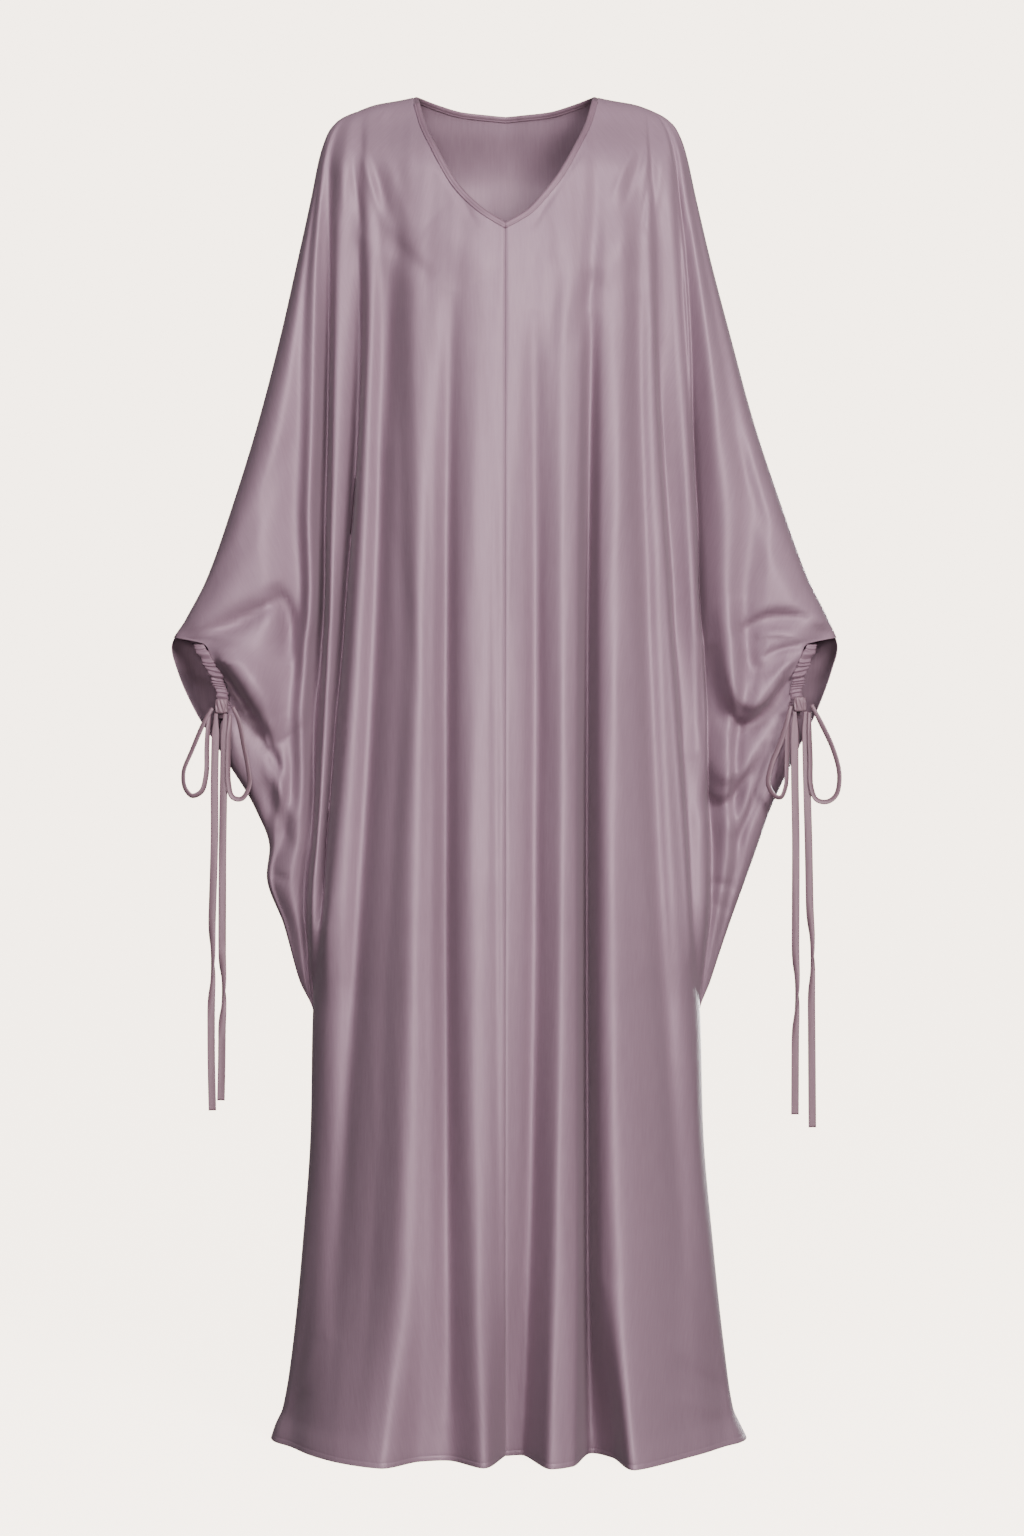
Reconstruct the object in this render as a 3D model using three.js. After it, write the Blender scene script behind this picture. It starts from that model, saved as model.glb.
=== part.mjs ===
// An abaya worn by nobody: a satin robe with a V neck, a centre front seam and batwing sleeves
// that are cut in one with the front and the back. A drawstring gathers each sleeve opening and is
// tied in a bow. The robe keeps the hollow form it has on a general figure.
// Sizes are in millimetres. +X is the wearer's left, -Y is the front, +Z is up.
// Heights in the tables are above the floor that the hem touches; the finished part is lowered so
// that its origin lies between the two neck points, where the shoulders carry it.
import * as THREE from "three";

// Driving sizes
const NECK_POINT_HEIGHT = 1420;
const WALL = 1.6;
const FOLD_LIMIT = 0.7;
const SEAM_GAP = 0.3;
const BINDING_GAP = 0.5;
const NECK_POINT_GAP = 1.1;
const BINDING_WIDTH = 6;
const BINDING_WALL = 2.2;
const CASING_WALL = 3;
const CASING_GATHERS = 9;
const CASING_GATHER_DEPTH = 1.4;
// The gathers fade out over one part in this many at each end of the casing.
const CASING_ENDS = 8;
const RIBBON_WIDTH = 8;
const RIBBON_THICKNESS = 1.8;
const SATIN = { color: 0x9b8490, roughness: 0.42, metalness: 0, side: THREE.DoubleSide };
const BINDING_SATIN = { ...SATIN, color: 0x8f7884 };
const TIE_SATIN = { ...SATIN, color: 0x86707c };

// Shape of the whole robe, a row for each level: how far its outline and its body reach on each
// side, how deep the body is in front and behind, and half the thickness of the sleeve.
// Above the foot of the sleeve the body's edge is a valley behind which the sleeve starts.
const LEVELS = [
  { z: 0, right: 248, left: 255, bodyRight: 248, bodyLeft: 255, front: 208, back: 196, sleeve: 10 },
  { z: 12, right: 244, left: 249, bodyRight: 244, bodyLeft: 249, front: 207, back: 195, sleeve: 10 },
  { z: 30, right: 236, left: 241, bodyRight: 236, bodyLeft: 241, front: 205, back: 193, sleeve: 10 },
  { z: 90, right: 226, left: 232, bodyRight: 226, bodyLeft: 232, front: 200, back: 188, sleeve: 10 },
  { z: 200, right: 215, left: 220, bodyRight: 215, bodyLeft: 220, front: 191, back: 178, sleeve: 10 },
  { z: 330, right: 206, left: 209, bodyRight: 206, bodyLeft: 209, front: 180, back: 166, sleeve: 10 },
  { z: 444, right: 204, left: 206, bodyRight: 204, bodyLeft: 206, front: 170, back: 155, sleeve: 9 },
  { z: 484, right: 219, left: 218, bodyRight: 199, bodyLeft: 202, front: 166, back: 151, sleeve: 15 },
  { z: 542, right: 235, left: 237, bodyRight: 193, bodyLeft: 197, front: 160, back: 145, sleeve: 22 },
  { z: 595, right: 253, left: 256, bodyRight: 190, bodyLeft: 194, front: 156, back: 140, sleeve: 28 },
  { z: 623, right: 250, left: 266, bodyRight: 189, bodyLeft: 193, front: 153, back: 137, sleeve: 30 },
  { z: 663, right: 264, left: 280, bodyRight: 186, bodyLeft: 191, front: 149, back: 132, sleeve: 33 },
  { z: 727, right: 303, left: 310, bodyRight: 182, bodyLeft: 187, front: 144, back: 125, sleeve: 37 },
  { z: 769, right: 330, left: 331, bodyRight: 179, bodyLeft: 185, front: 141, back: 121, sleeve: 39 },
  { z: 812, right: 349, left: 347, bodyRight: 175, bodyLeft: 182, front: 137, back: 118, sleeve: 41 },
  { z: 836, right: 355, left: 353, bodyRight: 173, bodyLeft: 180, front: 135, back: 116, sleeve: 42 },
  { z: 865, right: 339, left: 342, bodyRight: 171, bodyLeft: 178, front: 133, back: 114, sleeve: 43 },
  { z: 907, right: 317, left: 321, bodyRight: 168, bodyLeft: 176, front: 131, back: 112, sleeve: 44 },
  { z: 992, right: 287, left: 290, bodyRight: 160, bodyLeft: 170, front: 127, back: 107, sleeve: 46 },
  { z: 1077, right: 261, left: 262, bodyRight: 154, bodyLeft: 164, front: 124, back: 103, sleeve: 48 },
  { z: 1162, right: 239, left: 239, bodyRight: 152, bodyLeft: 161, front: 121, back: 101, sleeve: 50 },
  { z: 1246, right: 220, left: 217, bodyRight: 154, bodyLeft: 160, front: 113, back: 100, sleeve: 51 },
  { z: 1310, right: 206, left: 202, bodyRight: 154, bodyLeft: 156, front: 98, back: 98, sleeve: 52 },
  { z: 1358, right: 196, left: 191, bodyRight: 152, bodyLeft: 152, front: 86, back: 96, sleeve: 52 },
  { z: 1384, right: 186, left: 180, bodyRight: 152, bodyLeft: 151, front: 80, back: 96, sleeve: 52 },
  { z: 1396, right: 174, left: 168, bodyRight: 151, bodyLeft: 150, front: 77, back: 96, sleeve: 52 },
  { z: 1404, right: 157, left: 154, bodyRight: 157, bodyLeft: 154, front: 75, back: 96, sleeve: 52 },
];
const SLEEVE_FOOT = 444;
const SLEEVE_HEAD = 1404;

// The shoulder's crest from the middle outwards; over the neck opening it is only a guide.
const CREST = [
  { x: 0, z: 1456 },
  { x: 60, z: 1433 },
  { x: 98, z: 1418 },
  { x: 112, z: 1415 },
  { x: 137, z: 1410.5 },
  { x: 155.5, z: 1404 },
  { x: 174, z: 1396 },
  { x: 186, z: 1384 },
  { x: 196, z: 1358 },
  { x: 206, z: 1310 },
  { x: 239, z: 1162 },
];
const CREST_ROUNDING = 210;
const EDGE_ROUNDING = 40;
// How square the body's section is, how far behind the sleeve's start the body would close, and
// where the shoulders widen it.
const BODY_SQUARENESS = 2.1;
const BODY_BEHIND_SLEEVE = 22;
const BODY_AT_SHOULDER = 20;
const SHOULDER_WIDENS = { from: 1150, to: 1380 };
// Over which heights the sleeve gets its thickness, the body opens into it, and the crest takes
// over from the sleeve's edge.
const SLEEVE_THICKENS_BY = SLEEVE_FOOT + 60;
const BODY_OPENS_BY = SLEEVE_FOOT + 80;
const CREST_TAKES_OVER = { from: 1330, to: 1395 };
const BODY_TO_SLEEVE_BLEND = 18;
// A fold leaves at least this share of the robe's depth, and a swag needs this depth for its full
// height.
const LEAST_DEPTH_SHARE = 0.35;
const DEPTH_BLEND_SHARE = 0.2;
const DEPTH_BLEND_LIMIT = 20;
const FULL_SWAG_DEPTH = 30;

// The panels' edge round the neck, from the middle to the neck point; the binding lies inside it.
const FRONT_NECK = [
  { x: 0, z: 1266 },
  { x: 10, z: 1272.5 },
  { x: 23, z: 1282 },
  { x: 38, z: 1298 },
  { x: 58, z: 1322 },
  { x: 77, z: 1354 },
  { x: 89, z: 1381 },
  { x: 98, z: 1418 },
];
const BACK_NECK = [
  { x: 0, z: 1403 },
  { x: 47, z: 1406 },
  { x: 76, z: 1412 },
  { x: 98, z: 1418 },
];
const NECK_HALF_WIDTH = 98;
const TINY = 0.01;

// Folds of the body, a row for each from the middle to the side. "across" is its distance from the
// middle and "deep" how far it lies inside the robe's outline, both at the heights below.
const BODY_HEIGHTS = [1404, 1200, 920, 570, 200, 0];
const FRONT_FOLDS = {
  right: [
    { name: "centre seam", across: [0, 0, 0, 0, 0, 0], deep: [0, 0, 1, 4, 24, 83] },
    { name: "ridge by the seam", across: [22, 26, 32, 33, 28, 22], deep: [0, -2, -5, -7, -5, 8] },
    { name: "first valley", across: [45, 54, 62, 62, 58, 58], deep: [0, 2, 12, 18, 26, 50] },
    { name: "valley's side", across: [69, 72, 76, 78, 80, 86], deep: [0, 0, 3, 5, 8, 38] },
    { name: "broad ridge", across: [98, 93, 90, 96, 106, 128], deep: [0, -3, -6, -8, -10, -21] },
    { name: "plane to the side", across: [115, 112, 110, 122, 140, 162], deep: [0, 6, 11, 12, 13, -16] },
    { name: "side valley", across: [133, 128, 132, 150, 172, 196], deep: [0, 10, 18, 22, 22, 0] },
    { name: "body's edge", across: [144, 143, 158, 183, 200, 226], deep: [0, 1, 0, 2, 14, 22] },
  ],
  left: [
    { name: "centre seam", across: [0, 0, 0, 0, 0, 0], deep: [0, 0, 1, 4, 24, 83] },
    { name: "seam valley", across: [26, 31, 33, 33, 24, 17], deep: [0, 3, 12, 18, 46, 88] },
    { name: "narrow ridge", across: [56, 59, 59, 58, 52, 46], deep: [0, -2, -6, -7, -4, 0] },
    { name: "ridge's lip", across: [78, 76, 73, 71, 71, 68], deep: [0, 0, 0, 2, 8, 12] },
    { name: "deep valley", across: [98, 89, 85, 84, 84, 88], deep: [0, 8, 22, 36, 60, 88] },
    { name: "valley's side", across: [111, 103, 99, 96, 100, 110], deep: [0, 0, 4, 6, 10, 54] },
    { name: "broad ridge", across: [124, 121, 117, 113, 121, 131], deep: [0, -5, -8, -9, -14, -31] },
    { name: "side valley", across: [138, 138, 148, 160, 184, 190], deep: [0, 3, 9, 12, 14, 9] },
    { name: "body's edge", across: [146, 151, 165, 188, 206, 230], deep: [0, -3, -4, -1, 8, 26] },
  ],
};
const BACK_FOLDS = {
  right: [
    { name: "centre back", across: [0, 0, 0, 0, 0, 0], deep: [0, 2, 8, 14, 22, 34] },
    { name: "centre ridge", across: [36, 32, 30, 32, 36, 42], deep: [0, -2, -3, -4, -5, -6] },
    { name: "back valley", across: [64, 60, 58, 64, 72, 84], deep: [0, 3, 9, 14, 24, 44] },
    { name: "broad ridge", across: [98, 91, 88, 96, 108, 128], deep: [0, -3, -5, -7, -9, -14] },
    { name: "side valley", across: [124, 116, 118, 136, 158, 184], deep: [0, 3, 8, 12, 18, 26] },
    { name: "body's edge", across: [144, 139, 148, 173, 198, 230], deep: [0, 0, -1, 2, 8, 14] },
  ],
  left: [
    { name: "centre back", across: [0, 0, 0, 0, 0, 0], deep: [0, 2, 8, 14, 22, 34] },
    { name: "centre ridge", across: [36, 36, 38, 40, 44, 52], deep: [0, -2, -3, -5, -6, -8] },
    { name: "back valley", across: [64, 66, 68, 74, 82, 96], deep: [0, 4, 10, 16, 28, 50] },
    { name: "broad ridge", across: [98, 95, 96, 104, 118, 138], deep: [0, -3, -5, -6, -8, -12] },
    { name: "side valley", across: [124, 121, 126, 144, 166, 192], deep: [0, 2, 6, 9, 14, 20] },
    { name: "body's edge", across: [144, 146, 156, 177, 202, 236], deep: [0, 0, -1, 2, 8, 14] },
  ],
};

// Folds of the sleeve, from the valley at the body's edge to the outline. "share" is the place
// across the sleeve, from 0 at the body to 1 at the outline, at the heights below.
const SLEEVE_HEIGHTS = [1340, 1150, 992, 844, 716, 600, 500, 444];
const FRONT_SLEEVE_FOLDS = {
  right: [
    { name: "body valley", share: [0, 0, 0, 0, 0, 0, 0, 0], deep: [5, 14, 26, 30, 28, 22, 8, 0] },
    {
      name: "inner ridge",
      share: [0.33, 0.27, 0.17, 0.075, 0.1, 0.16, 0.28, 0.3],
      deep: [0, -2, -3, -3, -2, -1, 0, 0],
    },
    {
      name: "shoulder valley",
      share: [0.67, 0.42, 0.265, 0.14, 0.19, 0.29, 0.44, 0.46],
      deep: [7, 17, 25, 27, 25, 18, 5, 0],
    },
    {
      name: "outer ridge",
      share: [0.83, 0.55, 0.36, 0.215, 0.31, 0.56, 0.66, 0.68],
      deep: [0, -2, -4, -4, -3, -4, -2, 0],
    },
    {
      name: "arm valley",
      share: [0.9, 0.68, 0.47, 0.3, 0.47, 0.86, 0.88, 0.88],
      deep: [0, 6, 12, 14, 12, 4, 0, 0],
    },
    {
      name: "arm ridge",
      share: [0.95, 0.83, 0.78, 0.6, 0.72, 0.94, 0.95, 0.95],
      deep: [0, -3, -6, -4, 0, 0, 0, 0],
    },
    { name: "outline", share: [1, 1, 1, 1, 1, 1, 1, 1], deep: [0, 0, 0, 0, 0, 0, 0, 0] },
  ],
  left: [
    { name: "body valley", share: [0, 0, 0, 0, 0, 0, 0, 0], deep: [4, 12, 24, 30, 28, 17, 6, 0] },
    {
      name: "inner ridge",
      share: [0.5, 0.36, 0.225, 0.15, 0.195, 0.25, 0.3, 0.3],
      deep: [-1, -4, -6, -6, -5, -3, 0, 0],
    },
    {
      name: "shoulder valley",
      share: [0.62, 0.44, 0.28, 0.19, 0.26, 0.38, 0.46, 0.46],
      deep: [6, 16, 24, 26, 24, 11, 3, 0],
    },
    {
      name: "outer ridge",
      share: [0.77, 0.64, 0.49, 0.37, 0.47, 0.58, 0.66, 0.66],
      deep: [0, -3, -6, -6, -4, -3, 0, 0],
    },
    {
      name: "arm valley",
      share: [0.87, 0.8, 0.71, 0.52, 0.62, 0.75, 0.82, 0.82],
      deep: [1, 3, 6, 8, 8, 5, 0, 0],
    },
    {
      name: "arm ridge",
      share: [0.94, 0.92, 0.86, 0.74, 0.8, 0.88, 0.92, 0.92],
      deep: [0, -1, -2, -3, 0, 0, 0, 0],
    },
    { name: "outline", share: [1, 1, 1, 1, 1, 1, 1, 1], deep: [0, 0, 0, 0, 0, 0, 0, 0] },
  ],
};
const BACK_SLEEVE_FOLDS = [
  { name: "body valley", share: [0, 0, 0, 0, 0, 0, 0, 0], deep: [4, 12, 22, 26, 24, 18, 7, 0] },
  {
    name: "inner ridge",
    share: [0.5, 0.34, 0.23, 0.16, 0.22, 0.3, 0.4, 0.4],
    deep: [0, -2, -4, -4, -3, -2, 0, 0],
  },
  {
    name: "arm valley",
    share: [0.72, 0.58, 0.44, 0.36, 0.44, 0.56, 0.66, 0.66],
    deep: [1, 6, 12, 14, 12, 7, 2, 0],
  },
  {
    name: "arm ridge",
    share: [0.9, 0.82, 0.74, 0.66, 0.72, 0.82, 0.88, 0.88],
    deep: [0, -3, -5, -5, -3, 0, 0, 0],
  },
  { name: "outline", share: [1, 1, 1, 1, 1, 1, 1, 1], deep: [0, 0, 0, 0, 0, 0, 0, 0] },
];

// The sleeve opening, from its top to its foot: the rim is the free edge in front, and the panel
// ends where the gathered casing starts. The left one lies further out by "leftShift".
const OPENING = [
  { z: 846, rim: 351, panel: 351, leftShift: 0 },
  { z: 838, rim: 329, panel: 316, leftShift: 0 },
  { z: 826, rim: 323, panel: 309, leftShift: 1 },
  { z: 814, rim: 317, panel: 303, leftShift: 3 },
  { z: 802, rim: 311, panel: 297, leftShift: 5 },
  { z: 790, rim: 306, panel: 292, leftShift: 7 },
  { z: 778, rim: 303, panel: 290, leftShift: 9 },
  { z: 766, rim: 303, panel: 292, leftShift: 9 },
  { z: 754, rim: 306, panel: 300, leftShift: 8 },
  { z: 728, rim: 303, panel: 303, leftShift: 8 },
];
const OPENING_TOP = 846;
const OPENING_FOOT = 728;
const CASING_TOP = 836;
const CASING_FOOT = 762;

// Swags and hollows that run across the sleeve, each along a curve through three points (distance
// from the middle, height). "out" is how far it stands out, negative for a hollow, and it fades
// over "above" and "below" millimetres on its two sides.
const FRONT_SWAGS = {
  right: [
    {
      name: "hollow over the swag",
      from: [318, 850],
      via: [285, 862],
      to: [240, 886],
      out: -9,
      above: 10,
      below: 12,
    },
    { name: "swag", from: [305, 838], via: [276, 800], to: [234, 738], out: 21, above: 32, below: 8 },
    {
      name: "hollow under the swag",
      from: [300, 806],
      via: [268, 756],
      to: [240, 706],
      out: -9,
      above: 8,
      below: 26,
    },
    {
      name: "low crease",
      from: [286, 752],
      via: [262, 700],
      to: [240, 640],
      out: 6,
      above: 9,
      below: 9,
    },
  ],
  left: [
    {
      name: "hollow over the swag",
      from: [306, 850],
      via: [288, 874],
      to: [240, 842],
      out: -9,
      above: 10,
      below: 11,
    },
    { name: "swag", from: [309, 835], via: [232, 694], to: [228, 886], out: 18, above: 30, below: 9 },
    {
      name: "hollow under the swag",
      from: [302, 806],
      via: [224, 654],
      to: [216, 840],
      out: -9,
      above: 8,
      below: 24,
    },
    {
      name: "low crease",
      from: [292, 744],
      via: [264, 700],
      to: [238, 636],
      out: 6,
      above: 9,
      below: 9,
    },
  ],
};

// A curve through the rows of a table, without overshoot between them.
function along(rows, key, value, by = "z") {
  const forward = rows[0][by] < rows[rows.length - 1][by];
  const list = forward ? rows : [...rows].reverse();
  if (value <= list[0][by]) return list[0][key];
  const last = list.length - 1;
  if (value >= list[last][by]) return list[last][key];
  let i = 0;
  while (list[i + 1][by] < value) i += 1;
  const slope = (k) => (list[k + 1][key] - list[k][key]) / (list[k + 1][by] - list[k][by]);
  const tangent = (k) => {
    if (k === 0) return slope(0);
    if (k === last) return slope(last - 1);
    const before = slope(k - 1);
    const after = slope(k);
    return before * after <= 0 ? 0 : (2 * before * after) / (before + after);
  };
  const span = list[i + 1][by] - list[i][by];
  const t = (value - list[i][by]) / span;
  return (
    list[i][key] * (1 + 2 * t) * (1 - t) ** 2 +
    tangent(i) * span * t * (1 - t) ** 2 +
    list[i + 1][key] * t * t * (3 - 2 * t) +
    tangent(i + 1) * span * t * t * (t - 1)
  );
}

const stationCache = new Map();
// One fold's value at a height, from its list of values at the stations.
function station(heights, values, z) {
  if (!stationCache.has(values))
    stationCache.set(values, heights.map((height, i) => ({ z: height, value: values[i] })));
  return along(stationCache.get(values), "value", z);
}

const smoothStep = (from, to, value) => {
  const t = Math.min(1, Math.max(0, (value - from) / (to - from)));
  return t * t * (3 - 2 * t);
};
const quarterRound = (t) => Math.sqrt(1 - (1 - Math.min(1, Math.max(0, t))) ** 2);
const softMax = (a, b, blend) => 0.5 * (a + b + Math.hypot(a - b, blend));

const outline = (side, z) => along(LEVELS, side, z);
const bodyEdge = (side, z) => along(LEVELS, side === "right" ? "bodyRight" : "bodyLeft", z);
const openingEdge = (side, key, z) =>
  along(OPENING, key, z) + (side === "left" ? along(OPENING, "leftShift", z) : 0);
const inSleeve = (z) => z > SLEEVE_FOOT && z < SLEEVE_HEAD;
// How far the tie draws the front of the sleeve in at a height. Nearer the edge than "EDGE_SHARE"
// the cloth follows the opening's own edge instead.
const DRAWN_IN = 58;
const EDGE_SHARE = 0.75;
const drawnIn = (z) => DRAWN_IN * smoothStep(980, 810, z) * smoothStep(600, 770, z);
// Below the crest, the sleeve's folds start at this height. Slopes are measured over a short step.
const FOLDS_START = 1350;
const SLOPE_STEP = 3;

// The robe's depth at a place on one side, before any fold.
function depthAt(side, layer, x, z) {
  const reach = outline(side, z);
  const depth = along(LEVELS, layer, z);
  const thickness = along(LEVELS, "sleeve", z);
  const sleeved = smoothStep(SLEEVE_FOOT, SLEEVE_THICKENS_BY, z);
  const opened = smoothStep(SLEEVE_FOOT, BODY_OPENS_BY, z);
  const widened = smoothStep(SHOULDER_WIDENS.from, SHOULDER_WIDENS.to, z);
  const bodyReach = bodyEdge(side, z) + BODY_BEHIND_SLEEVE * opened + BODY_AT_SHOULDER * widened;
  const body = depth * Math.sqrt(Math.max(0, 1 - (x / bodyReach) ** BODY_SQUARENESS));
  const full = sleeved > 0 ? softMax(body, thickness * sleeved, BODY_TO_SLEEVE_BLEND * sleeved) : body;
  const byCrest = smoothStep(CREST_TAKES_OVER.from, CREST_TAKES_OVER.to, z);
  const edge = sleeved > 0 ? quarterRound((reach - x) / (EDGE_ROUNDING * sleeved)) : 1;
  const crest = quarterRound((along(CREST, "z", x, "x") - z) / CREST_ROUNDING);
  return full * edge ** (1 - byCrest) * crest ** byCrest;
}

// How far the swags of a table push a place outwards. A swag fades out towards its two ends.
const SWAG_STEPS = 14;
const SWAG_END_FADE = 0.7;
function swagAt(swags, x, z) {
  let out = 0;
  for (const swag of swags) {
    let best = Infinity;
    let at = 0;
    let sign = 1;
    for (let i = 0; i <= SWAG_STEPS; i += 1) {
      const t = i / SWAG_STEPS;
      const px = (1 - t) ** 2 * swag.from[0] + 2 * t * (1 - t) * swag.via[0] + t * t * swag.to[0];
      const pz = (1 - t) ** 2 * swag.from[1] + 2 * t * (1 - t) * swag.via[1] + t * t * swag.to[1];
      const distance = Math.hypot(x - px, z - pz);
      if (distance < best) {
        best = distance;
        at = t;
        const dx = (1 - t) * (swag.via[0] - swag.from[0]) + t * (swag.to[0] - swag.via[0]);
        const dz = (1 - t) * (swag.via[1] - swag.from[1]) + t * (swag.to[1] - swag.via[1]);
        sign = dx * (z - pz) - dz * (x - px) < 0 ? 1 : -1;
      }
    }
    const width = sign > 0 ? swag.above : swag.below;
    const fade = Math.abs(Math.sin(Math.PI * at)) ** SWAG_END_FADE;
    out += swag.out * Math.exp(-((best / width) ** 2)) * fade;
  }
  return out;
}

// A layer is a family of folds on one side: the body's first and then the sleeve's. Its places are
// counted in folds, so 2.5 lies halfway from fold 2 to fold 3.
function makeLayer(side, layer) {
  const front = layer === "front";
  const body = (front ? FRONT_FOLDS : BACK_FOLDS)[side];
  const sleeve = front ? FRONT_SLEEVE_FOLDS[side] : BACK_SLEEVE_FOLDS;
  const swags = front ? FRONT_SWAGS[side] : [];
  const neck = front ? FRONT_NECK : BACK_NECK;
  const mirror = side === "right" ? -1 : 1;
  const forward = front ? -1 : 1;
  const rowsAt = new Map();

  // The free edge of the sleeve's panel at a height: the outline, or the casing's seam in front.
  const reach = (z) => {
    const open = front && z < OPENING_TOP && z > OPENING_FOOT;
    return open ? openingEdge(side, "panel", z) : outline(side, z);
  };
  // The places of all folds at a height.
  const folds = (z) => {
    if (rowsAt.has(z)) return rowsAt.get(z);
    const room = bodyEdge(side, z);
    const rows = body.map((fold, i) => ({
      at: i,
      x: Math.min(station(BODY_HEIGHTS, fold.across, z), room * (0.9 + (0.09 * i) / body.length)),
      deep: station(BODY_HEIGHTS, fold.deep, z),
    }));
    const width = outline(side, z) - room;
    const drawn = front ? drawnIn(z) : 0;
    sleeve.forEach((fold, i) => {
      const share = station(SLEEVE_HEIGHTS, fold.share, z);
      const atEdge = smoothStep(EDGE_SHARE, 1, share) * (reach(z) - outline(side, z) + drawn);
      const x = inSleeve(z) ? room + share * width - share ** 2 * drawn + atEdge : room;
      const deep = station(SLEEVE_HEIGHTS, fold.deep, z) * smoothStep(SLEEVE_HEAD, FOLDS_START, z);
      rows.push({ at: body.length + i, x, deep });
    });
    rowsAt.set(z, rows);
    return rows;
  };

  const self = {
    mirror,
    forward,
    neck,
    bodyCount: body.length,
    last: body.length + sleeve.length - 1,
    x: (place, z) => along(folds(z), "x", place, "at"),
    // How far in front of the side seams the cloth lies, or behind them.
    out(x, z, hollow) {
      const base = depthAt(side, layer, x, z);
      const least = LEAST_DEPTH_SHARE * base;
      const blend = DEPTH_BLEND_SHARE * Math.min(base, DEPTH_BLEND_LIMIT);
      const free = softMax(base - hollow, least, blend);
      return Math.max(0, free + swagAt(swags, x, z) * Math.min(1, base / FULL_SWAG_DEPTH));
    },
    // The cloth's point at a place and height.
    point(place, z) {
      const rows = folds(z);
      const x = along(rows, "x", place, "at");
      return new THREE.Vector3(mirror * x, forward * self.out(x, z, along(rows, "deep", place, "at")), z);
    },
    // The outward normal of the smooth form, without folds, at the neck's edge.
    edgeNormal(x, z) {
      const step = SLOPE_STEP;
      const low = self.out(Math.abs(x - step), z - step, 0);
      const acrossSlope = (self.out(x + step, z - step, 0) - low) / (2 * step);
      const upSlope = (self.out(x, z, 0) - self.out(x, z - step, 0)) / step;
      return new THREE.Vector3(-mirror * acrossSlope, forward, -upSlope).normalize();
    },
    // The height of the panel's upper edge above a place of the body.
    top(place) {
      const x = self.x(place, SLEEVE_HEAD);
      return x < NECK_HALF_WIDTH - TINY ? along(neck, "z", x, "x") : along(CREST, "z", x, "x");
    },
  };
  return self;
}

// Where a panel is sampled: its heights from the hem up, and the places in each fold.
const FRONT_HEIGHTS = [
  0, 22, 55, 110, 180, 260, 350, 444, 484, 525, 570, 620, 680, 728, 760, 795, 826, 838, 843.5, 846,
  885, 940, 1000, 1070, 1130, 1180, 1225, 1262, 1300, 1335, 1360, 1378, 1390, 1404,
];
const BACK_HEIGHTS = [
  0, 30, 90, 180, 300, 444, 484, 542, 595, 650, 728, 780, 815, 836, 865, 920, 1000, 1080, 1160,
  1240, 1300, 1345, 1374, 1393, 1404,
];
const NECK_FOOT = 1180;

function samplePlaces(layer, perBodyFold, perSleeveFold) {
  const places = [];
  for (let i = 0; i < layer.bodyCount - 1; i += 1)
    for (let k = 0; k < perBodyFold; k += 1) places.push(i + k / perBodyFold);
  for (const t of [0, 0.4, 0.75, 1]) places.push(layer.bodyCount - 1 + t);
  const inner = places.length - 1;
  for (let i = layer.bodyCount; i < layer.last - 1; i += 1)
    for (let k = 1; k <= perSleeveFold; k += 1) places.push(i + k / perSleeveFold);
  for (const t of [0.4, 0.75, 0.93, 1]) places.push(layer.last - 1 + t);
  return { places, inner };
}

// A sheet is a list of points with faces between them and a rule for the normal at its seams.
class Sheet {
  constructor() {
    this.points = [];
    this.faces = [];
    this.rules = [];
  }

  add(point, rule = null) {
    this.points.push(point);
    this.rules.push(rule);
    return this.points.length - 1;
  }

  quad(a, b, c, d) {
    const corners = [a, b, c, d].filter((v, i, list) => v !== list[(i + 1) % 4]);
    if (corners.length < 3) return;
    this.faces.push([corners[0], corners[1], corners[2]]);
    if (corners.length === 4) this.faces.push([corners[0], corners[2], corners[3]]);
  }

  // The normals at the points, each face counted by its angle there. At a sharp fold they are
  // longer, so that the wall keeps its thickness, and at a seam they lie in the seam's plane.
  normals() {
    const normals = this.points.map(() => new THREE.Vector3());
    const around = this.points.map(() => []);
    for (const corners of this.faces) {
      const [p, q, r] = corners.map((v) => this.points[v]);
      const face = q.clone().sub(p).cross(r.clone().sub(p)).normalize();
      corners.forEach((v, k) => {
        const one = this.points[corners[(k + 1) % 3]].clone().sub(this.points[v]);
        const two = this.points[corners[(k + 2) % 3]].clone().sub(this.points[v]);
        normals[v].addScaledVector(face, one.angleTo(two));
        around[v].push(face);
      });
    }
    normals.forEach((normal, v) => {
      if (this.rules[v]) this.rules[v](normal);
      normal.normalize();
      if (this.rules[v] || around[v].length === 0) return;
      const lean = around[v].reduce((sum, face) => sum + face.dot(normal), 0) / around[v].length;
      normal.multiplyScalar(1 / Math.max(FOLD_LIMIT, lean));
    });
    return normals;
  }

  // The closed wall of cloth round this sheet.
  wall(thickness) {
    const normals = this.normals();
    const edge = new Map();
    for (const [a, b, c] of this.faces)
      for (const [u, v] of [[a, b], [b, c], [c, a]]) edge.set(`${u} ${v}`, [u, v]);
    const positions = [];
    for (const lift of [thickness / 2, -thickness / 2])
      this.points.forEach((point, v) => {
        positions.push(...point.clone().addScaledVector(normals[v], lift).toArray());
      });
    const under = this.points.length;
    const index = [];
    for (const [a, b, c] of this.faces) index.push(a, b, c, under + c, under + b, under + a);
    for (const [u, v] of edge.values()) {
      if (edge.has(`${v} ${u}`)) continue;
      index.push(v, u, under + u, v, under + u, under + v);
    }
    const geometry = new THREE.BufferGeometry();
    geometry.setAttribute("position", new THREE.Float32BufferAttribute(positions, 3));
    geometry.setIndex(index);
    return geometry;
  }
}

const flatAcross = (normal) => normal.setX(0);
const flatFrontToBack = (normal) => normal.setY(0);
const flatUpDown = (normal) => normal.setZ(0);
const straightForward = (normal) => normal.set(0, -1, 0);

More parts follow.
